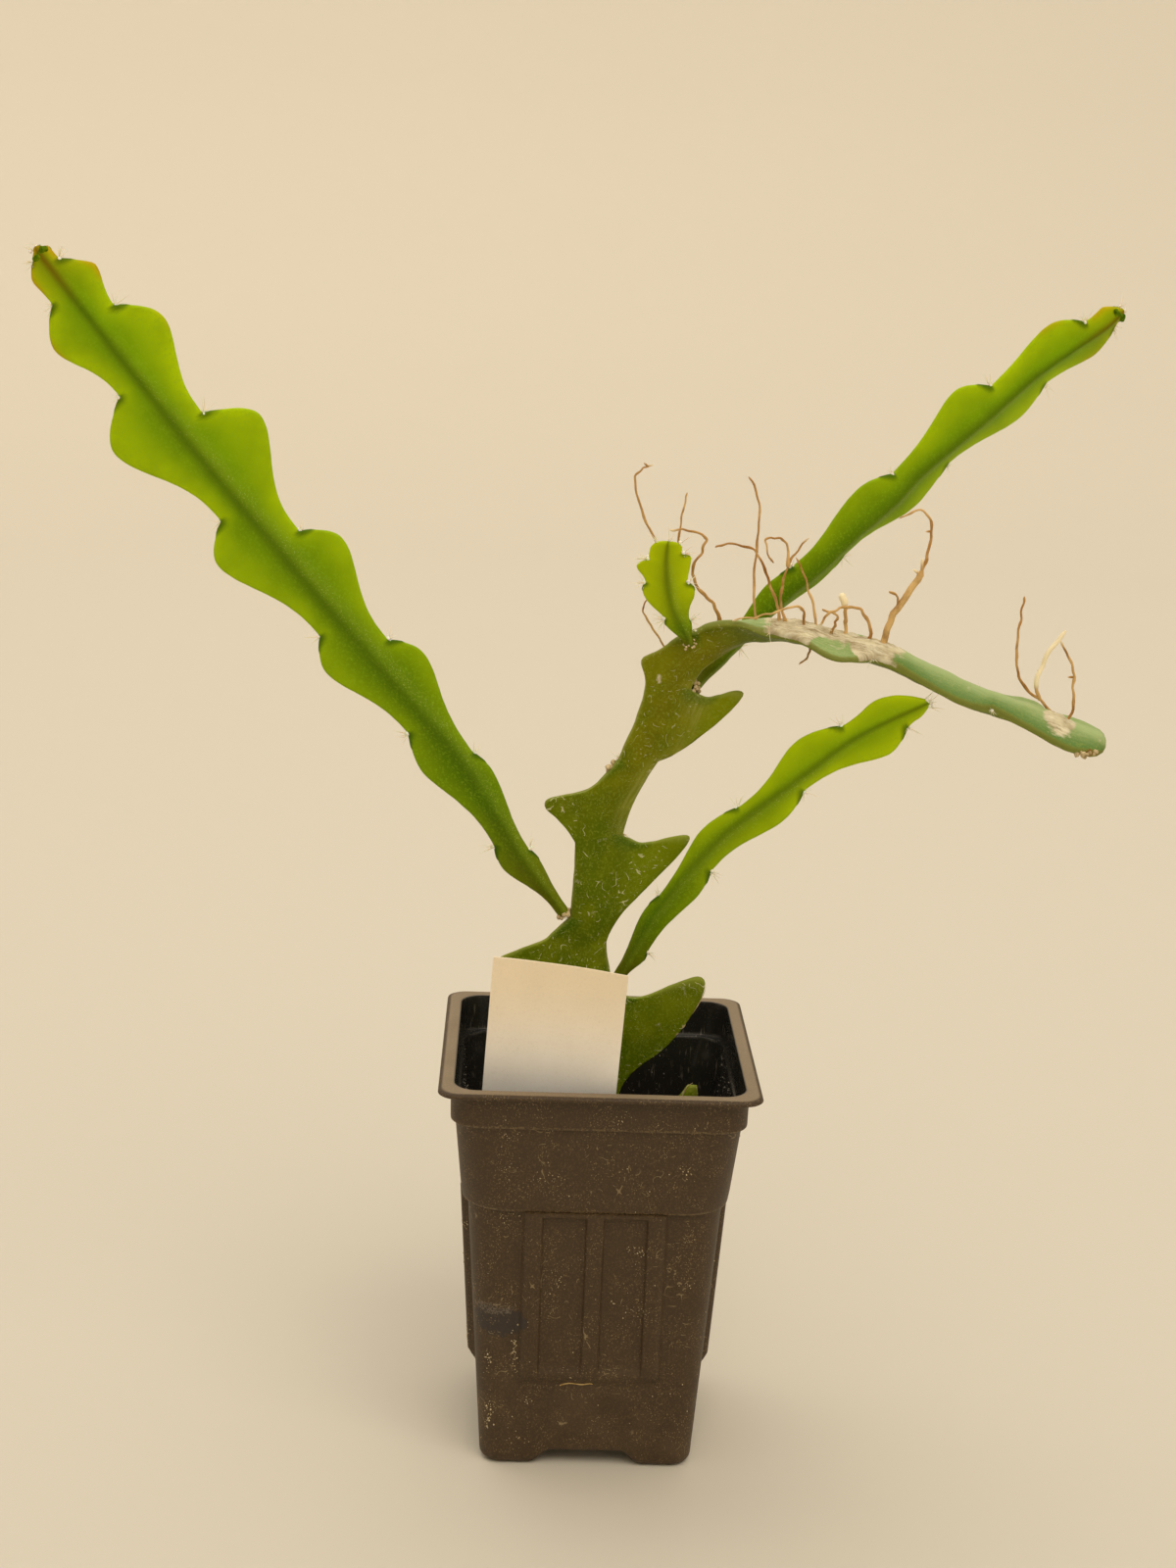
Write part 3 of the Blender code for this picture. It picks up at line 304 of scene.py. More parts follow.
# Aerial roots: foot radius, tip radius, and a route that starts inside the main stem
AERIAL_ROOTS = [
    (0.85, 0.5, [(30, -2, 240.5), (28.5, -2, 248), (25, -2.5, 252), (22, -3, 255.5),
                 (21, -3, 260), (23.5, -3, 265), (24, -3.5, 268.5), (19, -4, 270.5), (14, -5, 270.5)]),
    (0.7, 0.45, [(46, -6.5, 243.5), (44.5, -7, 251), (42.5, -7, 256), (40, -8, 262),
                 (36.5, -8, 266.5), (31, -8, 267.5), (26.5, -8, 266.5)]),
    (0.55, 0.4, [(17, 0.8, 229.5), (14.5, 3, 236), (11, 4, 241.5), (8, 4, 246), (9, 4, 249.5)]),
    (0.7, 0.45, [(20, 1, 231.5), (20.5, 4, 240), (18, 6, 249), (12, 8, 264), (8, 8, 271),
                 (4.5, 8, 281), (6, 8, 285.5), (9.5, 8, 287)]),
    (0.6, 0.4, [(18.6, 5.6, 247), (18.2, 5, 258), (17.2, 5, 266), (18, 5, 274), (19, 5, 280)]),
    (0.65, 0.45, [(40, -4.5, 243), (38.3, -5, 251), (38, -5, 262), (38.5, -5, 272),
                  (38, -5, 280), (35, -5, 286)]),
    (0.75, 0.45, [(48, -7, 243.5), (45.5, -8.5, 251), (45.5, -9, 257), (47.5, -9, 264),
                  (52, -9, 270)]),
    (0.6, 0.4, [(46.8, -9, 262), (46, -9.5, 268.5), (42.5, -10, 270), (40, -10, 268.5),
                (42.5, -10, 263)]),
    (0.65, 0.4, [(56, -9, 242.5), (54.5, -9, 251), (52, -9.5, 258), (49, -10, 265)]),
    (0.6, 0.4, [(52, -9, 243.5), (51.5, -12, 249.5), (49, -14, 252), (43, -14, 250),
                (38, -13, 248.3), (32, -12, 247.3)]),
    (0.55, 0.4, [(59, -10.5, 241.5), (60, -12.5, 246.5), (60.5, -13, 249.3), (56.5, -13, 251)]),
    (0.75, 0.8, [(63.5, -11, 240.5), (63.3, -11, 247), (63, -11, 252), (61.5, -11, 255.5)]),
    (0.65, 0.4, [(69, -12, 239.5), (70, -13, 246), (67, -14, 251.5), (62, -14.5, 252),
                 (57.5, -15, 250), (56, -15, 247)]),
    (1.0, 0.4, [(73, -13, 238.5), (75, -14, 248), (78, -14, 254), (83, -14, 263),
                (84.5, -14, 270), (84.5, -14, 276.5), (81, -14, 279.5), (76, -14, 277)]),
    (0.55, 0.4, [(76, -14, 250), (76.8, -14, 255), (74.5, -14, 257)]),
    (0.6, 0.4, [(54, -8.5, 242.5), (54, -9, 238), (51.5, -9, 234.5)]),
    (0.75, 0.45, [(120, -23.5, 222), (119, -22, 227.5), (112.5, -22, 232.5), (109.3, -22, 239),
                  (109, -22, 247), (109.5, -22, 253), (110, -22, 258)]),
    (0.8, 0.65, [(116.5, -22, 229.5), (115, -22, 234), (117, -22, 241), (122, -22, 249)]),
    (0.75, 0.5, [(123, -24, 221), (125, -24.5, 228), (124.6, -25, 235), (123.5, -25, 241),
                 (120, -25, 246.5)]),
]

# Roots that stay stout, where the others dry out thin, and the share of its thickness each kind keeps
STOUT_ROOTS = (10, 11, 12, 13, 17)
STOUT, DRIED = 0.74, 0.58
ROOT_KINKS = 0.55       # how far a root's kinks stray from its route
ROOT_JOINTS = 0.3       # how much thicker a root is at its joints
ROOT_FLARE = 0.6        # how much thicker it is at its foot
# The three roots of an own shape
FAT_TIPPED, FAT_FOOTED, LIVE_ROOT = 11, 13, 17

# Stubs where a root has snapped off another: the root, and its way and length
SNAPPED_STUBS = (
    (13, 0.40, (-0.9, -0.1, 0.55), 2.6), (13, 0.43, (-0.1, -0.2, 1.0), 3.2),
    (9, 0.25, (-0.7, 0.2, 0.5), 2.0))


# Helpers

def linear(hex_colour):
    """An sRGB hex colour as linear RGB and alpha."""
    values = [int(hex_colour[i:i + 2], 16) / 255.0 for i in (0, 2, 4)]
    return (*[v / 12.92 if v <= 0.04045 else ((v + 0.055) / 1.055) ** 2.4 for v in values], 1.0)


def place(points):
    """Millimetre points in the pot's frame, as metres in the part's frame."""
    return (np.asarray(points, dtype=float) + (*POT_CENTRE, 0.0)) * MM


def unit(vector):
    """A numpy vector made one long."""
    return vector / np.linalg.norm(vector)


def smooth_step(low, high, value):
    """0 below low, 1 above high, smooth between; works on numbers and arrays."""
    share = np.clip((value - low) / (high - low), 0.0, 1.0)
    return share * share * (3.0 - 2.0 * share)


def within(rise, fall, value):
    """1 between a rise and a fall, each given by its two ends, and 0 outside them."""
    return smooth_step(*rise, value) * (1.0 - smooth_step(*fall, value))


def smooth_rows(rows, per_span):
    """A Catmull-Rom curve through rows of numbers, per_span samples between neighbours."""
    rows = np.array(rows, dtype=float)
    padded = np.vstack([2 * rows[0] - rows[1], rows, 2 * rows[-1] - rows[-2]])
    t = np.linspace(0.0, 1.0, per_span, endpoint=False)[:, None]
    spans = []
    for p0, p1, p2, p3 in zip(padded, padded[1:], padded[2:], padded[3:]):
        spans.append(0.5 * (2 * p1 + (p2 - p0) * t + (2 * p0 - 5 * p1 + 4 * p2 - p3) * t ** 2
                            + (3 * p1 - p0 - 3 * p2 + p3) * t ** 3))
    return np.vstack(spans + [rows[-1:]])


def distances(points):
    """How far along a line each of its points lies."""
    steps = np.linalg.norm(np.diff(points, axis=0), axis=1)
    return np.concatenate([[0.0], np.cumsum(steps)])


def new_object(name, data):
    """An object at the origin, in the scene."""
    obj = bpy.data.objects.new(name, data)
    bpy.context.scene.collection.objects.link(obj)
    return obj


def mesh_piece(name, points, faces, material=None, attributes=None, edges=()):
    """A smooth-shaded object from frame points in metres, with named numbers on its points."""
    mesh = bpy.data.meshes.new(name)
    mesh.from_pydata([tuple(point) for point in points], edges, faces)
    for attribute, values in (attributes or {}).items():
        layer = mesh.attributes.new(attribute, "FLOAT", "POINT")
        layer.data.foreach_set("value", np.asarray(values, dtype=np.float32))
    mesh.update()
    if material:
        mesh.materials.append(material)
    mesh.shade_smooth()
    return new_object(name, mesh)


def face_outwards(obj):
    """Turn every face of a closed piece outwards."""
    shape = bmesh.new()
    shape.from_mesh(obj.data)
    bmesh.ops.recalc_face_normals(shape, faces=shape.faces)
    shape.to_mesh(obj.data)
    shape.free()


def loft_faces(ring_count, ring_size, first_cap=True, last_cap=True):
    """Quads between closed rings, and a flat cap at each end."""
    faces = []
    for i in range(ring_count - 1):
        for j in range(ring_size):
            k = (j + 1) % ring_size
            a, b = i * ring_size, (i + 1) * ring_size
            faces.append((a + j, a + k, b + k, b + j))
    if first_cap:
        faces.append(tuple(reversed(range(ring_size))))
    if last_cap:
        last = (ring_count - 1) * ring_size
        faces.append(tuple(range(last, last + ring_size)))
    return faces


def wear(obj, slot, *nodes):
    """Put a finished piece on the part: its body and the solids it stands for. The slot it is given is not
    used.
    """
    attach(obj, BODY)
    if nodes:
        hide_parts(*nodes)
    return obj


def connect(node, *values, **named):
    """Set a node's inputs in their order, then by name, with _ for a space, and its settings.

    A node given as a value stands for its first output, and None leaves an input as it is.
    """
    for key in [key for key in named if hasattr(node, key)]:
        setattr(node, key, named.pop(key))
    for key, value in (*enumerate(values), *named.items()):
        socket = node.inputs[key.replace("_", " ") if isinstance(key, str) else key]
        if isinstance(value, bpy.types.Node):
            value = value.outputs[0]
        if isinstance(value, bpy.types.NodeSocket):
            node.id_data.links.new(value, socket)
        elif value is not None:
            socket.default_value = value
    return node


def add_node(tree, kind, *values, **named):
    """Add a node with its settings and links."""
    return connect(tree.nodes.new(kind), *values, **named)


def new_material(name, *marks, **constants):
    """A Principled material with its constant sockets set.

    Gives the material, its shader, a call that adds its nodes, Object coordinates, and the
    piece's own painted marks.
    """
    material = bpy.data.materials.new(name)
    material.use_nodes = True
    add = partial(add_node, material.node_tree)
    shader = connect(material.node_tree.nodes["Principled BSDF"], **constants)
    at = add("ShaderNodeTexCoord").outputs["Object"]
    painted = [add("ShaderNodeAttribute", attribute_name=mark).outputs["Fac"] for mark in marks]
    return material, shader, add, at, *painted


def paint(add, base, *layers):
    """Lay colours over a base, first to last: a layer is its colour and the masks that thin it."""
    for colour, strength, *factors in layers:
        for factor in factors:
            strength = add(MATH, strength, factor, operation="MULTIPLY")
        base, colour = (linear(c) if isinstance(c, str) else c for c in (base, colour))
        mix = add("ShaderNodeMix", strength, *UNUSED, base, colour, data_type="RGBA")
        base = mix.outputs[COLOUR_OUT]
    return base


# Blades

class Stem:
    """A stem's centre line, blade directions and margins, worked out from its spec."""

    def __init__(self, spec):
        self.spec = spec
        rows = smooth_rows(spec.route, ROUTE_STEPS)
        self.points = rows[:, :3]
        self.turns = np.radians(rows[:, 3])
        self.along = distances(self.points)
        self.length = self.along[-1]
        self.curves = {}

    def centre(self, station):
        """The point of the midrib at a station."""
        return np.array([np.interp(station, self.along, axis) for axis in self.points.T])

    def frame(self, station):
        """Unit vectors along the stem, out of its face, and towards its right margin."""
        ahead, behind = min(station + 1.0, self.length), max(station - 1.0, 0.0)
        tangent = unit(self.centre(ahead) - self.centre(behind))
        face = np.array((0.0, -1.0, 0.0))
        face = unit(face - tangent * face.dot(tangent))
        turn = float(np.interp(station, self.along, self.turns))
        face = face * math.cos(turn) + np.cross(tangent, face) * math.sin(turn)
        return tangent, face, np.cross(tangent, face)

    def out(self, side, face, across):
        """The way out along the folded blade on one side."""
        fold = math.radians(self.spec.fold)
        return across * side * math.cos(fold) - face * math.sin(fold)

    def teeth(self, side):
        """The teeth of one side, -1 for left and 1 for right."""
        return self.spec.right if side > 0 else self.spec.left

    def every_tooth(self):
        """Side and number of each tooth, left margin first."""
        return [(side, number) for side in (-1, 1) for number in range(len(self.teeth(side)))]

    def areole(self, side, number):
        """Station and reach of a tooth's areole, or of the tip past the last tooth."""
        teeth = self.teeth(side)
        if number >= len(teeth):
            return self.length, self.spec.tip_waist
        tooth = teeth[number]
        return (tooth.start, tooth.waist) if isinstance(tooth, Lobe) else tooth[0]

    def outline(self, side, number):
        """A hooked tooth's smooth outline and the share of its length at each point."""
        if (side, number) not in self.curves:
            curve = smooth_rows(self.teeth(side)[number] + [self.areole(side, number + 1)], HOOK_STEPS)
            along = distances(curve)
            self.curves[side, number] = curve, along / along[-1]
        return self.curves[side, number]

    def margin(self, side, row):
        """Station and reach of the margin for a row of the mesh, and its tooth's next areole."""
        teeth = self.teeth(side)
        starts = [self.areole(side, number)[0] for number in range(len(teeth))]
        if row <= starts[0]:
            return row, self.areole(side, 0)[1], starts[0]
        number = max(i for i, start in enumerate(starts) if start <= row)
        end, end_reach = self.areole(side, number + 1)
        tooth = teeth[number]
        if not isinstance(tooth, Lobe):
            curve, shares = self.outline(side, number)
            share = (row - tooth[0][0]) / (end - tooth[0][0])
            return np.interp(share, shares, curve[:, 0]), np.interp(share, shares, curve[:, 1]), end
        if row <= tooth.crest:
            u = ((row - tooth.start) / (tooth.crest - tooth.start)) ** tooth.swell
            return row, tooth.waist + (tooth.reach - tooth.waist) * u * u * (3.0 - 2.0 * u), end
        v = min(1.0, (row - tooth.crest) / (end - tooth.crest))
        return row, end_reach + (tooth.reach - end_reach) * (1.0 - v ** tooth.drop), end

    def rim(self, side, row):
        """The margin's point on one side for a row, its reach, and the way out of the blade there.

        A hook that runs past its tooth's next areole goes straight on, in the plane it has there.
        """
        station, reach, end = self.margin(side, row)
        past = max(0.0, station - end)
        tangent, face, across = self.frame(station - past)
        out = self.out(side, face, across)
        return self.centre(station - past) + tangent * past + out * reach, reach, out

    def rows(self):
        """Stations of the mesh's rows, with every areole among them."""
        marks = sorted({0.0, self.length, *(float(self.areole(*tooth)[0]) for tooth in self.every_tooth())})
        rows = []
        for low, high in zip(marks, marks[1:]):
            count = max(1, round((high - low) / self.spec.row_step))
            rows += [low + (high - low) * i / count for i in range(count)]
        return rows + [self.length]

    def half_thickness(self, station, distance, reach, widest):
        """Half the blade's thickness at a distance from the midrib."""
        share = station / self.length
        half, thick = (foot + (tip - foot) * share
                       for foot, tip in (self.spec.rib_half, self.spec.rib_thick))
        half = min(half, RIB_SHARE * reach)
        thick = min(thick, RIB_SHARE * widest)
        edge = min(self.spec.edge_half, thick)
        swell = 1.0 / (1.0 + (distance / (RIB_SPREAD * half)) ** RIB_FALL)
        thin = EDGE_THINNING * (1.0 - distance / max(reach, 0.1))
        body = edge * (1.0 + thin) + (thick - edge) * swell
        rim = min(1.0, (reach - distance) / min(RIM_ROUND, 0.5 * reach))
        return body * math.sqrt(max(0.0, 1.0 - (1.0 - rim) ** 2))


def blade_points(stem):
    """Rings of points round the blade, and for each its station, distance out, reach, side and face.

    Where a tooth is hooked, only the outer part of a row bends to follow it.
    """
    profile = [(1, share) for share in reversed(SECTION)] + [(-1, share) for share in SECTION[1:]]
    loop = [(*spot, 1) for spot in profile] + [(*spot, -1) for spot in reversed(profile[1:-1])]
    rings, facts = [], []
    for row in stem.rows():
        _, face, across = stem.frame(row)
        middle = stem.centre(row)
        rims = {side: stem.rim(side, row) for side in (-1, 1)}
        widest = max(rims[-1][1], rims[1][1])
        for side, share, front in loop:
            point, reach, _ = rims[side]
            straight = stem.out(side, face, across) * reach
            base = middle + straight * share + (point - middle - straight) * share ** HOOK_BEND
            half = stem.half_thickness(row, reach * share, reach, widest)
            lump = LUMP_HEIGHT * noise.noise(Vector(base) * LUMP_PITCH + Vector((0, front * 9.0, 0)))
            rings.append(base + face * front * half * (1.0 + lump))
            facts.append((row, reach * share, reach, side, front))
    return np.array(rings), np.array(facts), len(loop)


def near(points, centre, radius):
    """1 at a place on a piece, falling smoothly to 0 a radius away."""
    distance = np.linalg.norm(points - np.asarray(centre, dtype=float), axis=1)
    return 1.0 - smooth_step(0.25 * radius, radius, distance)


def nub_mask(stem, points, station, longest):
    """Marks the hard dark wedge of each tooth, which starts at the areole that ends it."""
    mask = np.zeros(len(points))
    for side, number in stem.every_tooth():
        if number + 1 == len(stem.teeth(side)):
            continue
        start, end = stem.areole(side, number)[0], stem.areole(side, number + 1)[0]
        length = min(longest, 0.22 * (end - start))
        here = stem.rim(side, end)[0]
        gone = 0.0
        wedge = near(points, here, 0.7 * length)
        for back in np.linspace(0.05, 1.5 * length, 24):
            spot = stem.rim(side, end - back)[0]
            gone += np.linalg.norm(spot - here)
            here = spot
            if gone > length:
                break
            wedge = np.maximum(wedge, near(points, spot, length * (0.22 + 0.48 * (1.0 - gone / length))))
        mask = np.maximum(mask, wedge * (1.0 - smooth_step(end - 0.1, end + 0.8, station)))
    return mask


def blush_mask(stem, points, depth):
    """Marks the corners of the newest teeth, which turn orange."""
    mask = np.zeros(len(points))
    for side, number in stem.every_tooth():
        crest = stem.teeth(side)[number].crest
        fresh = smooth_step(stem.length - 45.0, stem.length - 8.0, crest)
        mask = np.maximum(mask, fresh * near(points, stem.rim(side, crest)[0], 6.0))
    return mask * (1.0 - smooth_step(0.2, 2.2, depth)) * stem.spec.blush


def cap_blade(points, facts, ring_size):
    """Round off both ends of a blade with two smaller rings and a last point."""
    for way in (-1, 1):
        points, facts = points[::way], facts[::way]
        edge, inner = points[-ring_size:], points[-2 * ring_size:-ring_size]
        centre = edge.mean(axis=0)
        out = unit(centre - inner.mean(axis=0))
        size = np.linalg.norm(edge - centre, axis=1).min()
        extra = [centre + (edge - centre) * k + out * size * h for k, h in ((0.82, 0.45), (0.45, 0.8))]
        points = np.vstack([points, *extra, centre + out * size * 0.95])[::way]
        facts = np.vstack([facts, facts[-ring_size:], facts[-ring_size:], facts[-1:]])[::way]
    return points, facts


def blade_faces(ring_count, ring_size):
    """Faces of a capped blade: a fan at each pole and quads between rings."""
    faces = [(0, 1 + (j + 1) % ring_size, 1 + j) for j in range(ring_size)]
    faces += [tuple(1 + v for v in face) for face in loft_faces(ring_count, ring_size, False, False)]
    pole = 1 + ring_count * ring_size
    last = pole - ring_size
    faces += [(last + j, last + (j + 1) % ring_size, pole) for j in range(ring_size)]
    return faces


def blade_piece(name, spec, material, paint_masks, relief):
    """A stem's blade as one closed piece, with its painted masks and a UV map in metres."""
    stem = Stem(spec)
    points, facts, ring_size = blade_points(stem)
    points, facts = cap_blade(points, facts, ring_size)
    faces = blade_faces(len(points) // ring_size, ring_size)
    painted = paint_masks(stem, points, facts)
    obj = mesh_piece(name, place(points), faces, material, painted)
    face_outwards(obj)
    raise_surface(obj, relief(points, painted))
    uv = obj.data.uv_layers.new(name="skin")
    flat = np.stack([facts[:, 0], facts[:, 1] * facts[:, 3]], axis=1) * MM
    loops = np.zeros(len(obj.data.loops), dtype=np.int32)
    obj.data.loops.foreach_get("vertex_index", loops)
    uv.data.foreach_set("uv", flat[loops].astype(np.float32).ravel())
    return obj


def callus_lumps():
    """Centres and radii of the cork round each branch's foot, and at its other spots."""
    rng = random.Random(CORK_SEED)
    centres, radii = [], []
    for spec, spread, count, size in BRANCH_FEET:
        stem = Stem(spec)
        tangent, face, across = stem.frame(0.5)
        for number in range(count):
            angle = math.tau * number / count + rng.uniform(-0.2, 0.2)
            ring = across * math.cos(angle) + face * math.sin(angle)
            shift = ring * spread * rng.uniform(0.8, 1.15) + tangent * rng.uniform(-0.9, 0.5)
            centres.append(stem.centre(0.0) + shift)
            radii.append(size * rng.uniform(0.6, 1.15))
    old = Stem(MAIN)
    for station, across, count, size in CALLUS_SPOTS:
        tangent, face, side = old.frame(station)
        for _ in range(count):
            shift = tangent * rng.uniform(-1.4, 1.4) + side * rng.uniform(-0.8, 0.8)
            shift = shift + face * rng.uniform(-0.8, 0.8)
            centres.append(old.centre(station) + side * across + shift)
            radii.append(size * rng.uniform(0.5, 1.2))
    return centres, radii


def margin_cork():
    """Short tapered ridges of dry cork along the old stem's margin, as strands."""
    stem = Stem(MAIN)
    lines = []
    for side, low, high, radius in MARGIN_CORK:
        curve = []
        for row in np.linspace(low, high, 8):
            point, _, out = stem.rim(side, row)
            curve.append(point + out * 0.15 + stem.frame(row)[1] * 0.62)
        lines.append((curve, [radius * max(0.15, math.sin(math.pi * i / 7)) for i in range(8)], {}))
    return lines


def tip_buds(spec):
    """Centres and radii of the small green swellings that crowd a young stem's growing tip."""
    rng = random.Random(BUD_SEED)
    stem = Stem(spec)
    tangent, face, across = stem.frame(stem.length)
    centres = [stem.centre(stem.length) + tangent * rng.uniform(-1.8, 0.0) + across * step
               + face * aside for step in (-2.0, -1.0, 0.1, 1.1, 2.0) for aside in (-0.8, 0.7)]
    return clamp_to_box(centres, 1.4), [rng.uniform(0.65, 1.0) for _ in centres]


def raise_surface(obj, heights):
    """Move each point of a piece out along its normal by a height in millimetres."""
    count = len(obj.data.vertices)
    normals = np.zeros(count * 3, dtype=np.float32)
    obj.data.vertex_normals.foreach_get("vector", normals)
    spots = np.zeros(count * 3, dtype=np.float32)
    obj.data.vertices.foreach_get("co", spots)
    spots = spots.reshape(-1, 3) + normals.reshape(-1, 3) * (np.asarray(heights)[:, None] * MM)
    obj.data.vertices.foreach_set("co", spots.astype(np.float32).ravel())
    obj.data.update()


def young_masks(stem, points, facts):
    """Where a young blade is old or new; near its midrib, painted darker there as shade and lighter beside it
    as a highlight; how far out, for the painted glow of its thin margins; near its rim; at its tip, nubs and
    newest corners; and how gold it turns.
    """
    station, distance, reach, side, _ = facts.T
    age = station / stem.length
    widest = max(tooth.reach for tooth in stem.spec.left + stem.spec.right)
    rib_width = (0.5 + 0.095 * widest) * (0.35 + 0.65 * np.sin(np.pi * np.clip(age, 0, 1)) ** 0.8)
    across = distance * side / rib_width
    return {"age": age,
            # The midrib is painted darker: partly its own deeper green, partly painted shade where less light
            # comes through its thick middle, set a little to its left side
            "rib": np.exp(-(across + 0.15) ** 2) * (0.55 + 0.45 * smooth_step(0.15, 0.6, age)),
            # Painted glow: lighter towards the margin, as if light shone through the thin blade
            "edge": smooth_step(0.15, 1.0, distance / np.maximum(reach, 0.1)),
            "rim": 1.0 - smooth_step(0.1, 0.9, reach - distance),
            "tip": smooth_step(stem.length - 20.0, stem.length - 1.0, station) * (0.1 + stem.spec.blush),
            # Painted highlight: a lighter band beside the midrib on its right, where the ridge catches the
            # light; the skin's pale flecks gather in it
            "grain": np.exp(-((across - 0.9) / 0.9) ** 2) * (1.0 - smooth_step(0.7, 0.95, age)),
            "nub": nub_mask(stem, points, station, 3.8),
            "blush": blush_mask(stem, points, reach - distance),
            "gold": stem.spec.gold * smooth_step(0.1, 0.5, age)}


def young_relief(points, painted):
    """The nubs' slight swelling and the skin's own unevenness."""
    uneven = np.array([0.07 * noise.noise(Vector(point) * 0.4) for point in points])
    return uneven + 0.22 * painted["nub"]


def spot_on(station, across, middle, size):
    """1 at a place on a blade given by station and distance across, falling to 0 at its size."""
    far = np.hypot((station - middle[0]) / size[0], (across - middle[1]) / size[1])
    return 1.0 - smooth_step(0.3, 1.0, far)


def old_masks(stem, points, facts):
    """Where the old stem is green, olive or sage, corky or dead; where shade is painted under the arch and on
    its lower half; and where a glow, a sheen over pale fibres, and highlights along its rim and ridge are
    painted.
    """
    station, distance, reach, side, front = facts.T
    across, depth = distance * side, reach - distance
    out = distance / np.maximum(reach, 0.1)
    on_top = (front < 0) | (depth < 1e-6)
    sage = smooth_step(178, 200, station) * on_top
    low, high = np.interp(station, *CRUST_LOW), np.interp(station, *CRUST_HIGH)
    crust = within((201.0, 208.5), (237.0, 245.0), station)
    crust = crust * within((low - 2.2, low + 2.0), (high - 2.0, high + 2.2), across)
    crust = np.maximum(crust, spot_on(station, across, *END_CRUST)) * on_top
    # The pale band along the right margin is a painted sheen, with real pale fibres drawn in it
    streak = within((112, 136), (168, 180), station) * (side > 0) * smooth_step(0.2, 0.9, out)
    return {"olive": smooth_step(116, 165, station), "sage": sage,
            # Painted shade: the arch's underside, and on its top the lower half towards the near margin, are
            # painted darker green
            "under": smooth_step(186, 204, station) * (1.0 - on_top),
            "near_edge": sage * (side < 0) * smooth_step(0.05, 0.9, out) * smooth_step(222, 245, station),
            # Painted glow: the outer right wing is made lighter, as if light shone through it
            "glow": (side > 0) * smooth_step(7.0, 15.0, distance) * smooth_step(60, 80, station),
            "cork": np.maximum(crust, 0.75 * spot_on(station, across, *BEND_SCAR) * (front > 0)),
            "dead": np.maximum(*(spot_on(station, across, *spot) for spot in DEAD_SPOTS)),
            # Painted highlight: a pale line along the margin
            "rim": 1.0 - smooth_step(0.05, 0.8, depth),
            "rib": np.exp(-(distance / 3.4) ** 2),
            "streak": streak * (1.0 - smooth_step(9.0, 14.0, distance)),
            "nub": nub_mask(stem, points, station, 8.0)}


def old_relief(points, painted):
    """Height of the crusty cork over the green skin, and the skin's own slight unevenness."""
    heights = np.zeros(len(points))
    for i, point in enumerate(points):
        spot = Vector(point)
        heights[i] = 0.10 * noise.noise(spot * 0.35) + 0.2 * painted["nub"][i]
        crust = max(painted["cork"][i], painted["dead"][i])
        if crust > 0.0:
            flakes = Vector((point[0] * 0.7, point[1] * 1.6, point[2] * 1.6))
            heights[i] += crust * (0.25 + 0.45 * noise.noise(flakes) + 0.25 * noise.noise(spot * 3.1))
    return heights


# Settings

def colour_setting(name, description, hex_colour):
    """A colour that a user can change."""
    return FloatVectorProperty(name=name, description=description, subtype="COLOR", size=4, min=0,
                               max=1, default=linear(hex_colour))


def length_setting(name, description, default, longest):
    """A length in metres that a user can change."""
    return FloatProperty(name=name, description=description, unit="LENGTH", default=default, min=0,
                         max=longest, precision=5)


def count_setting(name, description, default):
    """A number of things, or a seed, that a user can change."""
    return IntProperty(name=name, description=description, default=default, min=0)


def light_setting(name, description, default):
    """A light's strength that a user can change."""
    return FloatProperty(name=name, description=description, default=default, min=0)


class CactusPotSettings(bpy.types.PropertyGroup):
    """Colours of the pot and its dust."""
    outside: colour_setting("Outside", "Dusty outer wall", "3E2E1A")
    # Painted highlight: the flange's top is painted in this lighter colour where the light from above falls
    # on it
    flange: colour_setting("Flange", "Top of the flange, painted lighter where light falls", "877660")
    inside: colour_setting("Inside", "Clean inner wall", "272624")
    dust: colour_setting("Dust", "Dried specks of compost and water marks", "A8946E")
    grit: colour_setting("Grit", "Grains stuck to the wall", "D2C4A2")
    grit_size: length_setting("Grit size", "Usual radius of a grain", 0.00014, 0.001)
    loose_grains: count_setting("Loose grains", "Grains strewn over each side of the pot", 110)


class CactusSoilSettings(bpy.types.PropertyGroup):
    """The compost's grains and colours."""
    peat: colour_setting("Peat", "Damp peat", "33261B")
    bark: colour_setting("Bark", "Chips of bark", "6B4A31")
    perlite: colour_setting("Perlite", "White mineral grains", "D9D3C6")
    crumb_size: length_setting("Crumb size", "Size of the peat's crumbs", 0.0016, 0.01)
    seed: count_setting("Seed", "Pattern of the scattered grains", 7)


class CactusLabelSettings(bpy.types.PropertyGroup):
    """The bare card."""
    paper: colour_setting("Paper", "Matt uncoated card", "F6E7CD")
    bow: length_setting("Bow", "How far the card's middle bows to the back", 0.0011, 0.004)
    thickness: length_setting("Thickness", "Thickness of the card", 0.00055, 0.002)


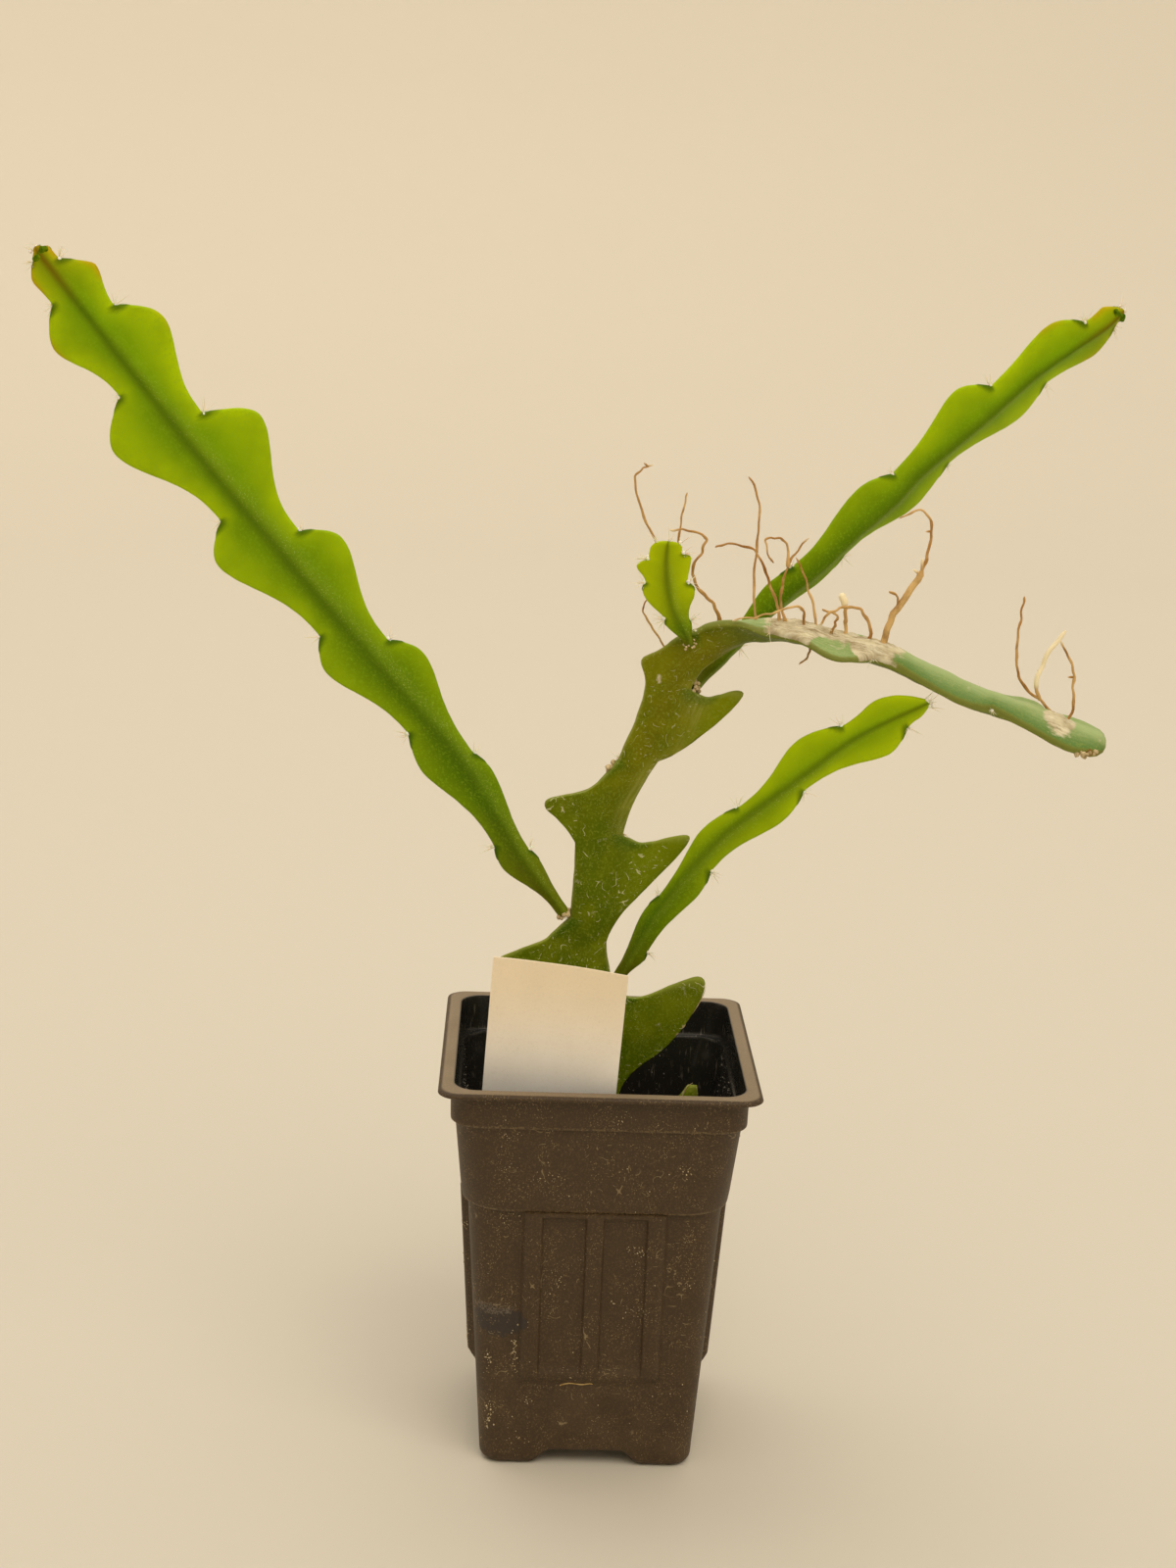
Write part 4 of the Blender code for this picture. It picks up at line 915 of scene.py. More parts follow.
class CactusSkinSettings(bpy.types.PropertyGroup):
    """Colours of the old and the young stems."""
    old_green: colour_setting("Old green", "Foot of the old stem", "5E6C00")
    olive: colour_setting("Olive", "Ageing skin at the bend", "797904")
    sage: colour_setting("Sage", "Waxy skin of the arch", "88A462")
    cork: colour_setting("Cork", "Crusty cork", "D2C8A6")
    dead: colour_setting("Dead tissue", "Dried brown tissue", "8F6C3A")
    young_low: colour_setting("Young foot", "Foot of a young blade", "4E6E00")
    young_high: colour_setting("Young blade", "Outer part of a young blade", "80A800")
    # Painted glow: the colour laid towards the thin margins, as if light shone through them
    young_margin_glow: colour_setting("Young margin", "Thin glowing lobes of a blade", "B4D000")
    # Partly the midrib's own green, partly painted shade
    young_rib: colour_setting("Young midrib", "Thick middle of a young blade", "486200")
    nub: colour_setting("Nub", "Hard corner of each tooth", "234E05")
    blush: colour_setting("Blush", "Corners of the newest teeth", "D2A008")


class CactusAreoleSettings(bpy.types.PropertyGroup):
    """Bristles and wool of the areoles."""
    bristles: count_setting("Bristles", "Bristles at each areole", 8)
    bristle_length: length_setting("Bristle length", "Length of the longest bristles", 0.0050, 0.02)
    bristle_radius: length_setting("Bristle radius", "Radius at a bristle's foot", 0.00013, 0.001)
    hairs: count_setting("Wool hairs", "Short hairs at each areole", 16)
    bristle: colour_setting("Bristle", "Pale straw bristles", "FFF4D6")
    wool: colour_setting("Wool", "Off-white wool", "FFFBF0")
    seed: count_setting("Seed", "Spread of the bristles", 11)


class CactusRootSettings(bpy.types.PropertyGroup):
    """The dried aerial roots."""
    bark: colour_setting("Bark", "Dried brown root", "A87430")
    straw: colour_setting("Straw", "Paler stretches", "DDB97C")
    tip: colour_setting("Tip", "Live cream tips", "FFF2CE")
    sides: IntProperty(name="Sides", description="Sides of each root's tube", default=9, min=3, max=24)
    lumps: length_setting("Lumps", "Height of the root's knobs", 0.00024, 0.002)
    seed: count_setting("Seed", "Wander of the roots", 5)


class CactusStageSettings(bpy.types.PropertyGroup):
    """Floor and studio light."""
    floor: colour_setting("Floor", "Plain pale floor", "D6D1C6")
    key_strength: light_setting("Key strength", "Broad light from the upper front", 1.45)
    back_strength: light_setting("Back strength", "Broad light from the upper back", 0.8)
    ambient: light_setting("Ambient", "Even light from all round", 0.76)


# Materials

def cells(grain):
    """Noise cells per metre for a pattern whose grain is this many millimetres wide.

    Real pores, scratches and paper fibres are too fine to see from the camera, so their grain is
    drawn coarser, at about half a millimetre to a millimetre and a half.
    """
    return 5.0 * round(200.0 / grain)


def patch_mask(add, at, middle, size, grain, ragged):
    """One ragged patch at a place, in millimetres in the pot's frame; 1 inside it."""
    away = add(VECTORS, at, tuple(place([middle])[0]), operation="SUBTRACT")
    shares = add(VECTORS, away, tuple(v * MM for v in size), operation="DIVIDE")
    far = add(VECTORS, shares, operation="LENGTH").outputs["Value"]
    torn = add(NOISE, at, Scale=cells(grain), Detail=4.0)
    edge = add(MATH, torn, ragged, far, operation="MULTIPLY_ADD")
    return add(RANGE, edge, 0.85 + 0.5 * ragged, 1.0 + 0.5 * ragged, 1.0, 0.0)


def crowded(add, at, mask, grain, least, fade):
    """A mask kept only where a coarse noise is above its least."""
    where = add(RANGE, add(NOISE, at, Scale=cells(grain), Detail=2.0), least, least + fade)
    return add(MATH, mask, where, operation="MULTIPLY")


def flecks_mask(add, at, grain, size, crowd_grain, crowd):
    """Small irregular scars: warped cells, in crowds."""
    scale = cells(grain)
    warp = add(NOISE, at, Scale=scale * 1.7, Detail=2.0).outputs["Color"]
    shift = add(VECTORS, warp, (0.9 / scale,) * 3, at, operation="MULTIPLY_ADD")
    spots = add("ShaderNodeTexVoronoi", shift, Scale=scale)
    return crowded(add, at, add(RANGE, spots, size * 0.6, size, 1.0, 0.0), crowd_grain, crowd, 0.08)


def squiggle_mask(add, at, grain, width, break_grain, crowd_grain, crowd):
    """Short curly scars: thin level lines of a noise, broken up, in crowds."""
    off = add(MATH, add(NOISE, at, Scale=cells(grain), Detail=0.0), 0.5, operation="SUBTRACT")
    thin = add(RANGE, add(MATH, off, operation="ABSOLUTE"), width * 0.5, width, 1.0, 0.0)
    broken = add(RANGE, add(NOISE, at, Scale=cells(break_grain), Detail=0.0), 0.55, 0.60)
    kept = crowded(add, at, broken, crowd_grain, crowd, 0.06)
    return add(MATH, thin, kept, operation="MULTIPLY")


def pot_plastic(settings):
    """Injection-moulded recycled polypropylene: dull brown-black outside under dried dust and
    scuffs, glossier and nearly black inside."""
    material, shader, add, at, inside, flange, low, worn_and_lit_edge = new_material(
        "Moulded polypropylene", "inside", "flange", "low", "worn_and_lit_edge", IOR=1.49, Specular_IOR_Level=0.4)
    cloud = add(NOISE, at, Scale=cells(14.3), Detail=5.0)
    fine = add(NOISE, at, Scale=cells(0.526), Detail=3.0)
    dots = flecks_mask(add, at, 0.667, 0.27, 7.7, 0.46)
    marks = squiggle_mask(add, at, 3.33, 0.022, 1.67, 14.3, 0.54)
    outer = add(MATH, 1.0, inside, operation="SUBTRACT")
    film = add(RANGE, cloud, 0.45, 0.75, 0.0, 0.35)
    tint = add(RANGE, fine, 0.50, 0.70, 0.0, 0.45)
    scuff = add(RANGE, fine, 0.40, 0.60, 0.0, 0.6)
    scar = patch_mask(add, at, *SCAR, 2.38, 1.1)
    crumbs = patch_mask(add, at, *SCAR_CRUMBS, 1.43, 1.3)
    scratch = add("ShaderNodeMapping", at, Scale=(1.0, 1.0, 0.12))
    scores = add(RANGE, add(NOISE, scratch, Scale=cells(0.77), Detail=2.0), 0.62, 0.74, 0.0, 0.45)
    colour = paint(
        # The worn edge bands at the step and collar are painted lighter: partly real wear, partly a painted
        # highlight where the edges catch the light
        add, settings.outside, ("6B5637", tint, outer), ("66553C", film, low), ("8A7655", worn_and_lit_edge, scuff),
        # The flange's top: a painted highlight where the light from above falls, with paler flecks and a
        # darker film of dust in it
        (settings.flange, flange), ("A3927A", flange, tint), ("63553F", flange, film, 0.9),
        ("29272A", scar, 0.6), ("8C8071", crumbs, scuff, 0.6),
        (settings.inside, inside), ("8A857C", inside, scores),
        (settings.dust, dots, outer, 0.55), (settings.dust, marks, outer, 0.45))
    dull = add(RANGE, inside, 0.0, 1.0, 0.55, 0.2)
    moulded = add(MATH, fine, outer, operation="MULTIPLY")
    connect(shader, Base_Color=colour,
            Roughness=add(MATH, dots, 0.4, dull, operation="MULTIPLY_ADD", use_clamp=True),
            Normal=add(BUMP, Strength=0.25, Distance=0.0002, Height=moulded))
    return material


def speckled(name, colour, second, grain, roughness, **constants):
    """A matt natural material whose colour wanders between two tones at one real size."""
    material, shader, add, at = new_material(name, Roughness=roughness, **constants)
    cloud = add(NOISE, at, Scale=cells(grain), Detail=4.0)
    connect(shader, Base_Color=paint(add, colour, (second, add(RANGE, cloud, 0.35, 0.65))),
            Normal=add(BUMP, Strength=0.5, Distance=0.0003, Height=cloud))
    return material


def card_paper(settings):
    """Uncoated wood-pulp card: matt, with faint fibres, and painted whiter towards its foot as painted light,
    against the shade the pot's rim throws there.
    """
    material, shader, add, at = new_material("Uncoated card", Roughness=0.85, Specular_IOR_Level=0.2)
    height = add("ShaderNodeSeparateXYZ", at).outputs["Z"]
    fibre = add(NOISE, at, Scale=cells(0.714), Detail=6.0)
    cloud = add(NOISE, at, Scale=cells(16.7), Detail=3.0)
    colour = paint(
        add, settings.paper,
        # Painted light: whiter towards the foot, to cancel the shade of the pot's rim
        ("FFFFFF", add(RANGE, height, 0.112, 0.152, 1.0, 0.0, interpolation_type="SMOOTHSTEP")),
        ("CDBDA6", add(RANGE, cloud, 0.4, 0.7, 0.0, 0.10)),
        ("C6BAA4", add(RANGE, fibre, 0.5, 0.8, 0.0, 0.16)))
    connect(shader, Base_Color=colour, Normal=add(BUMP, Strength=0.15, Distance=0.0001, Height=fibre))
    return material


def young_skin(settings):
    """Young cladode skin: thin, waxy and smooth over pale flesh, so light glows through the blade
    and the thick midrib and hard nubs show dark."""
    material, shader, add, at, age, rib, edge, rim, tip, nub, blush, grain, gold = new_material(
        "Young cladode skin", "age", "rib", "edge", "rim", "tip", "nub", "blush", "grain", "gold",
        Roughness=0.45, IOR=1.42, Specular_IOR_Level=0.08, Subsurface_Weight=0.2,
        Subsurface_Scale=0.0018, Subsurface_Radius=(0.7, 1.0, 0.1))
    grown = add(RANGE, age, 0.1, 0.85, interpolation_type="SMOOTHSTEP")
    lit = add(RANGE, grown, 0.0, 1.0, 0.22, 0.95)
    mottle = add(RANGE, add(NOISE, at, Scale=cells(9.1), Detail=5.0), 0.40, 0.72, 0.0, 0.30)
    foot = add(RANGE, age, 0.18, 0.03, 0.0, 0.7)
    pores = add(RANGE, add(NOISE, at, Scale=cells(0.667), Detail=2.0), 0.5, 0.72, 0.0, 0.5)
    stretch = add("ShaderNodeMapping", add("ShaderNodeUVMap", uv_map="skin"), Scale=(0.5, 1.0, 1.0))
    flecks = flecks_mask(add, stretch, 0.345, 0.30, 1.67, 0.40)
    speckle = add(RANGE, grain, 0.0, 1.0, 0.04, 0.42)
    colour = paint(
        # The margin colour is a painted glow, as if light shone through the thin lobes, stronger on older
        # parts
        add, settings.young_low, (settings.young_high, grown), (settings.young_margin_glow, edge, lit),
        ("4F7600", mottle), ("8FB420", pores), ("66620A", foot), ("BEC800", gold, 0.8),
        # Midrib: partly its own green, partly painted shade; the lighter band beside it is a painted
        # highlight, and the pale flecks in it are the skin's own
        (settings.young_rib, rib, 0.72), ("8FAA2A", grain, 0.22), ("C2D070", flecks, speckle),
        ("A8700E", rim, grown, blush, 0.8), ("B0900A", tip, 0.4), ("7A5408", rib, tip, 0.9),
        (settings.blush, blush, 0.8), (settings.nub, nub, 0.8))
    skin = add(NOISE, at, Scale=cells(1.43), Detail=3.0)
    connect(shader, Base_Color=colour, Normal=add(BUMP, Strength=0.22, Distance=0.0002, Height=skin))
    return material


def old_skin(settings):
    """Old cladode skin: thick dull wax over dark green, scattered with dry scars, turning olive and
    then sage along the arch, where pale cork has crusted over it."""
    (material, shader, add, at, olive, sage, under, near_edge, glow, cork, dead, rim, rib, streak,
     nub) = new_material(
        "Old cladode skin", "olive", "sage", "under", "near_edge", "glow", "cork", "dead", "rim",
        "rib", "streak", "nub", IOR=1.42, Specular_IOR_Level=0.08)
    cloud = add(NOISE, at, Scale=cells(9.1), Detail=5.0)
    mottle = add(RANGE, cloud, 0.42, 0.75, 0.0, 0.7)
    fresh = add(RANGE, cloud, 0.48, 0.30, 0.0, 0.5)
    pores = add(RANGE, add(NOISE, at, Scale=cells(0.667), Detail=2.0), 0.5, 0.72, 0.0, 0.45)
    pulled = add("ShaderNodeMapping", add("ShaderNodeUVMap", uv_map="skin"), Scale=(0.12, 1.0, 1.0))
    thread = add(RANGE, add(NOISE, pulled, Scale=cells(0.77), Detail=4.0), 0.42, 0.66, 0.1, 1.0)
    ragged = add(NOISE, at, Scale=cells(3.33), Detail=6.0)
    corky = add(RANGE, add(MATH, ragged, 1.8, cork, operation="MULTIPLY_ADD"), 1.20, 1.56)
    brown = add(RANGE, add(MATH, dead, ragged, operation="ADD"), 0.98, 1.2)
    bark = paint(add, "988562", (settings.cork, add(RANGE, ragged, 0.36, 0.66)),
                 ("EFEAD2", thread, 0.7))
    dots = flecks_mask(add, at, 0.526, 0.20, 10.5, 0.50)
    curls = squiggle_mask(add, at, 2.33, 0.024, 1.25, 13.3, 0.46)
    aged = add(MATH, olive, 0.45, sage, operation="MULTIPLY_ADD", use_clamp=True)
    green = add(MATH, 1.0, aged, operation="SUBTRACT")
    colour = paint(
        add, settings.old_green, (settings.olive, olive), ("465E02", mottle), ("77820C", fresh),
        # A painted glow on the right wing, then the midrib's olive, then the pale band along the right
        # margin: a painted sheen with pale fibres in it
        ("7C8A00", glow, 0.6), ("6A580A", rib, olive, 0.25), ("9A9A3A", streak, 0.25),
        ("B5B36C", streak, thread, 0.4), ("2A5405", nub, 0.6), (settings.sage, sage),
        # Painted highlight: the sage arch is lighter along its midrib ridge
        ("BCCE98", sage, rib, 0.5), ("C6D4A4", sage, thread, 0.3), ("D2DCB4", sage, pores),
        # Painted shade on the arch's lower half and underside, then a painted highlight along the rim
        ("567A38", near_edge, 0.85), ("5C6E2A", under, 0.8), ("8C9A34", pores), ("9CA44E", rim, 0.5),
        ("6E6A28", sage, rim, 0.55), ("B4BA78", dots, green, 0.8), ("CBCB9C", curls, green, 0.85),
        (bark, corky), (settings.dead, brown))
    scars = add(MATH, dots, curls, operation="ADD")
    raised = add(BUMP, Strength=0.4, Distance=0.0002, Height=scars)
    connect(shader, Base_Color=colour, Roughness=add(RANGE, corky, 0.0, 1.0, 0.5, 0.9),
            Normal=add(BUMP, Strength=0.5, Distance=0.0005, Height=ragged, Normal=raised))
    return material


def root_bark(settings):
    """Dried root bark: matt brown with straw stretches, and smooth cream where the tip is alive."""
    material, shader, add, at, straw, live = new_material(
        "Aerial root bark", "straw", "live", Roughness=0.75, Specular_IOR_Level=0.25)
    cloud = add(NOISE, at, Scale=cells(3.85), Detail=4.0)
    colour = paint(add, settings.bark, (settings.straw, straw),
                   ("7C5020", add(RANGE, cloud, 0.48, 0.68, 0.0, 0.55)),
                   ("E2BE84", add(RANGE, cloud, 0.46, 0.32, 0.0, 0.6)), (settings.tip, live))
    connect(shader, Base_Color=colour, Normal=add(BUMP, Strength=0.5, Distance=0.0003, Height=cloud))
    return material


def plain_hair(name, colour, roughness):
    """Dry plant hair: a translucent straw or off-white thread."""
    material, shader, add, at = new_material(name, Roughness=roughness, Subsurface_Weight=0.3,
                                             Subsurface_Scale=0.0005)
    shade = add(RANGE, add(NOISE, at, Scale=cells(1.25)), 0.55, 0.9, 0.0, 0.5)
    connect(shader, Base_Color=paint(add, colour, ("CDB078", shade)))
    return material


# Geometry Nodes

def new_tree(name, sizes):
    """A geometry tree with named number inputs: a call that adds its nodes, and what it is given."""
    tree = bpy.data.node_groups.new(name, "GeometryNodeTree")
    for way in ("INPUT", "OUTPUT"):
        tree.interface.new_socket("Geometry", in_out=way, socket_type="NodeSocketGeometry")
    for label, value in sizes.items():
        kind = "NodeSocketInt" if isinstance(value, int) else "NodeSocketFloat"
        tree.interface.new_socket(label, in_out="INPUT", socket_type=kind).default_value = value
    add = partial(add_node, tree)
    return add, add("NodeGroupInput").outputs


def end_tree(add, geometry, material):
    """Realize the instances, give them their material, hand them out, and return the tree."""
    smooth = add("GeometryNodeSetShadeSmooth", add("GeometryNodeRealizeInstances", geometry))
    coated = add("GeometryNodeSetMaterial", smooth, Material=material)
    return add("NodeGroupOutput", coated).id_data


def grow(obj, tree, values, name, drop=False):
    """Run a geometry tree on an object, with its inputs set, and keep the result as a plain mesh.

    An object that was only made to guide the tree is dropped after it.
    """
    modifier = obj.modifiers.new(tree.name, "NODES")
    modifier.node_group = tree
    for item in tree.interface.items_tree:
        if item.in_out == "INPUT" and item.name in values:
            modifier[item.identifier] = values[item.name]
    depsgraph = bpy.context.evaluated_depsgraph_get()
    mesh = bpy.data.meshes.new_from_object(obj.evaluated_get(depsgraph))
    mesh.name = name
    obj.modifiers.remove(modifier)
    if drop:
        bpy.data.objects.remove(obj)
    return new_object(name, mesh)


def strand_tree(material):
    """Tubes along the input's edges, as thick as their radius attribute says, with knobs."""
    add, given = new_tree("Strands", {"Sides": 6, "Lumps": 0.0, "Lump Scale": cells(2.5)})
    line = add("GeometryNodeMeshToCurve", given["Geometry"])
    radius = add(NAMED_NUMBER, "radius", data_type="FLOAT").outputs["Attribute"]
    ring = add("GeometryNodeCurvePrimitiveCircle", Resolution=given["Sides"], Radius=1.0)
    tube = add("GeometryNodeCurveToMesh", line, ring, Scale=radius, Fill_Caps=True)
    knobs = add(NOISE, Scale=given["Lump Scale"], Detail=2.0, noise_dimensions="3D")
    height = add(MATH, add(MATH, knobs, 0.5, operation="SUBTRACT"), given["Lumps"],
                 operation="MULTIPLY")
    push = add(VECTORS, add("GeometryNodeInputNormal"), Scale=height, operation="SCALE")
    return end_tree(add, add("GeometryNodeSetPosition", tube, Offset=push), material)


def lump_shape(add, seed, detail, roughness):
    """An uneven lump one unit in radius, for instances."""
    ball = add("GeometryNodeMeshIcoSphere", Radius=1.0, Subdivisions=detail)
    swirl = add(NOISE, W=seed, Scale=1.1, Detail=1.0, noise_dimensions="4D").outputs["Color"]
    centred = add(VECTORS, swirl, (0.5, 0.5, 0.5), operation="SUBTRACT")
    push = add(VECTORS, centred, Scale=roughness, operation="SCALE")
    return add("GeometryNodeSetPosition", ball, Offset=push)


def lumps_on(add, points, seed, **instance):
    """Lumps turned at random on points."""
    turn = add(RANDOM, Max=(math.tau,) * 3, Seed=seed, data_type="FLOAT_VECTOR").outputs["Value"]
    return add("GeometryNodeInstanceOnPoints", points, **instance,
               Rotation=add("FunctionNodeEulerToRotation", turn))


def scatter_tree(material, flat, detail):
    """Grains of uneven size scattered over the input's faces that are marked bearing."""
    add, given = new_tree("Scatter " + material.name, {"Density": 1000.0, "Size": 0.001, "Seed": 1})
    bearing = add(NAMED_NUMBER, "bearing", data_type="FLOAT").outputs["Attribute"]
    spots = add("GeometryNodeDistributePointsOnFaces", given["Geometry"],
                Selection=add(MATH, bearing, 0.5, operation="GREATER_THAN"),
                Density=given["Density"], Seed=given["Seed"])
    shape = add(RANDOM, Min=(0.35, 0.35, 0.35 * flat), Max=(1.0, 1.0, flat), Seed=given["Seed"],
                data_type="FLOAT_VECTOR").outputs["Value"]
    sized = add(VECTORS, shape, Scale=given["Size"], operation="SCALE")
    grains = lumps_on(add, spots, given["Seed"], Instance=lump_shape(add, 2.3, detail, 0.7),
                      Scale=sized)
    return end_tree(add, grains, material)


def tuft_tree(material, detail):
    """An uneven lump on every input point, as large as its radius attribute says."""
    add, given = new_tree("Tufts " + material.name, {"Seed": 3})
    radius = add(NAMED_NUMBER, "radius", data_type="FLOAT").outputs["Attribute"]
    lumps = lumps_on(add, given["Geometry"], given["Seed"],
                     Instance=lump_shape(add, 5.1, detail, 0.9), Scale=radius)
    return end_tree(add, lumps, material)


def strands(name, lines, material, values):
    """Many tubes as one piece; a line is its points in millimetres, radii, and painted masks."""
    points, edges, radii, painted = [], [], [], {}
    for route, thickness, marks in lines:
        edges += [(len(points) + i, len(points) + i + 1) for i in range(len(route) - 1)]
        points += list(route)
        radii += [radius * MM for radius in thickness]
        for mark, numbers in marks.items():
            painted.setdefault(mark, []).extend(numbers)
    guide = mesh_piece(name + "_lines", place(points), [], None, {"radius": radii, **painted}, edges)
    return grow(guide, strand_tree(material), values, name, drop=True)


def tufts(name, centres, radii, material, detail=1):
    """Uneven lumps at points given in millimetres, as one piece."""
    sizes = {"radius": [radius * MM for radius in radii]}
    guide = mesh_piece(name + "_points", place(centres), [], None, sizes)
    return grow(guide, tuft_tree(material, detail), {}, name, drop=True)


# Pot shape

def lower_wall_half(z):
    """Half width of the pot's tapered lower body at a height."""
    return BASE_HALF + (LOWER_TOP_HALF - BASE_HALF) * z / STEP_Z


def lower_corner(z):
    """Corner radius of the pot's lower body at a height."""
    return 6.0 + 3.0 * z / STEP_Z


def upper_wall(share):
    """Half width and height a share of the way up the pot's upper body."""
    return (UPPER_BASE_HALF + (UPPER_TOP_HALF - UPPER_BASE_HALF) * share,
            STEP_Z + (COLLAR_Z - STEP_Z) * share)


def close_steps(edges, spread):
    """Positions crowded round each moulded edge, so that its fillet has points to turn on."""
    return [edge + spread * k for edge in edges for k in (-1.0, -0.5, 0.0, 0.5, 1.0)]


def rounded(half, z, *steps):
    """Half width, corner radius and height of the rings that turn an edge; a step is how far out,
    its corner radius and how far up."""
    return [(half + out, radius, z + up) for out, radius, up in steps]


def face_positions():
    """Positions across one face of the pot, in millimetres from its middle."""
    right = sorted([*close_steps(PANEL_EDGES, 0.5), *close_steps((PAD_HALF,), 0.8), *ARCH_EDGES,
                    1.0, 4.2, 5.6, 7.0, 9.5, 11.2, 12.5, 13.5, 17.6, 18.3, 22.4, 24.0])
    return [-t for t in reversed(right)] + [0.0] + right


def arch_rise(t):
    """Height of the gap under the pot's edge, between its feet."""
    return FOOT_RISE * (1.0 - smooth_step(ARCH_EDGES[0], ARCH_EDGES[1], abs(t)))


def turned(quarter, out, t, z):
    """A spot on the pot's right side, taken round it by quarter turns."""
    turn = quarter * math.pi / 2
    return (out * math.cos(turn) - t * math.sin(turn), out * math.sin(turn) + t * math.cos(turn), z)


def pad_relief(t, z):
    """How far the raised pad, less its sunk panels, stands out of a lower face.

    Its top thins out to run flush into the step.
    """
    t = abs(t)
    pad = (1.0 - smooth_step(PAD_HALF - 1.2, PAD_HALF + 0.8, t)) * smooth_step(*PAD_RISE, z)
    (inner, outer), (foot, top) = PANEL_EDGES, PANEL_ENDS
    panel = within((inner - 0.4, inner + 0.4), (outer - 0.4, outer + 0.4), t)
    panel = panel * within((foot - 3.0, foot + 1.0), (top - 0.4, top + 0.4), z)
    bead = 0.25 * math.exp(-((t - PAD_HALF + 2.2) / 0.9) ** 2)
    return pad * (PAD_OUT + bead - PANEL_DEPTH * panel)


def pot_ring(half, radius, z, lower=False):
    """One ring of the wall, counter-clockwise; a lower one has the pads and the feet's gaps."""
    points = []
    for quarter in range(4):
        for t in face_positions():
            rise = arch_rise(t) if lower else 0.0
            height = rise + z * (ARCH_FADE - rise) / ARCH_FADE if z < ARCH_FADE else z
            points.append(turned(quarter, half + pad_relief(t, height) if lower else half, t, height))
        for step in range(CORNER_STEPS + 1):
            angle = step / CORNER_STEPS * math.pi / 2
            points.append(turned(quarter, half - radius + radius * math.cos(angle),
                                 half - radius + radius * math.sin(angle), z))
    return points


def lower_rows():
    """Half width, corner radius and height of each ring up the outside, as far as the step."""
    rows = []
    for z in (0.0, 0.25, 0.7, 1.3, 2.0, FOOT_ROUND):
        tuck = FOOT_ROUND - math.sqrt(max(0.0, FOOT_ROUND ** 2 - (FOOT_ROUND - z) ** 2))
        rows.append((lower_wall_half(z) - tuck, max(3.5, 6.0 - tuck), z))
    heights = [5, 8, 10, 14, 18, 22, 25, 26, *PAD_FOOT, 27.8, 28.6, 29.4, 31.2, 32, 33, 34, 35, 78.8]
    heights += [37 + 4.5 * i for i in range(10)]
    heights += close_steps((PANEL_ENDS[1],), 0.5) + close_steps((PAD_TOP,), 0.25)
    return rows + [(lower_wall_half(z), lower_corner(z), z) for z in sorted(heights)]


def upper_rows():
    """The same from the step to the flange's top."""
    rows = rounded(UPPER_BASE_HALF, STEP_Z, (-0.7, 12.4, -0.1), (-0.15, 13.2, 0.25), (0.0, 13.5, 0.9))
    for share in (i / 7 for i in range(1, 7)):
        half, z = upper_wall(share)
        rows.append((half, STEP_RADIUS - 4.0 * share, z))
    under = POT_HEIGHT - RIM_THICK
    return (rows + rounded(UPPER_TOP_HALF, COLLAR_Z, (0.0, 9.5, -0.5), (0.15, 9.4, -0.1))
            + rounded(COLLAR_HALF, COLLAR_Z, (-0.45, 8.3, 0.0), (-0.15, 8.1, 0.25), (-0.1, 8.0, 0.9),
                      (-0.05, 7.8, 4.0))
            + rounded(COLLAR_HALF, under, (0.0, 7.5, -0.7), (0.25, 7.3, -0.15), (0.9, 6.8, 0.0))
            + rounded(RIM_HALF, under, (-0.35, 5.1, -0.3), (-0.08, 5.0, 0.0), (0.0, 5.0, 0.3))
            + rounded(RIM_HALF, POT_HEIGHT, (-0.2, 5.0, -0.45), (-0.75, 5.1, -0.12), (-1.3, 5.3, 0.0)))


def inner_rows():
    """The same from the flange down the inside."""
    mouth, upper = COLLAR_HALF - WALL, UPPER_TOP_HALF - WALL
    rows = rounded(mouth, POT_HEIGHT, (0.5, 6.4, 0.0), (0.1, 6.5, -0.15), (0.0, 6.5, -0.6),
                   (-0.1, 6.8, -4.0))
    rows += rounded(mouth, COLLAR_Z, (-0.15, 7.0, 1.4), (-0.25, 7.0, 0.6), (-0.45, 7.1, 0.3))
    rows += rounded(upper, COLLAR_Z, (0.35, 8.3, 0.1), (0.1, 8.4, -0.2), (0.0, 8.5, -0.9),
                    (-0.2, 8.7, -4.0))
    for down in (0.2, 0.4, 0.6, 0.8):
        half, z = upper_wall(1.0 - down)
        rows.append((half - WALL, 8.5 + 3.9 * down, z))
    floor = lower_wall_half(FLOOR_Z) - WALL
    return rows + [(UPPER_BASE_HALF - WALL, 12.4, STEP_Z + 1.2), (LOWER_TOP_HALF - WALL, 8.0, STEP_Z - 1.2),
                   (lower_wall_half(40.0) - WALL, 6.5, 40.0), (floor, 5.0, FLOOR_Z + 0.8),
                   (floor - 0.8, 4.4, FLOOR_Z)]


def underside_rings(edge):
    """Rings from the pot's bottom edge in to its middle, rising over the channels between the feet."""
    rings = []
    for scale in (0.05, 0.15, 0.25, 0.35, 0.45, 0.55, 0.65, 0.75, 0.85, 0.93):
        rings.append([(x * scale, y * scale, max(arch_rise(x * scale), arch_rise(y * scale)))
                      for x, y, _ in edge])
    return rings


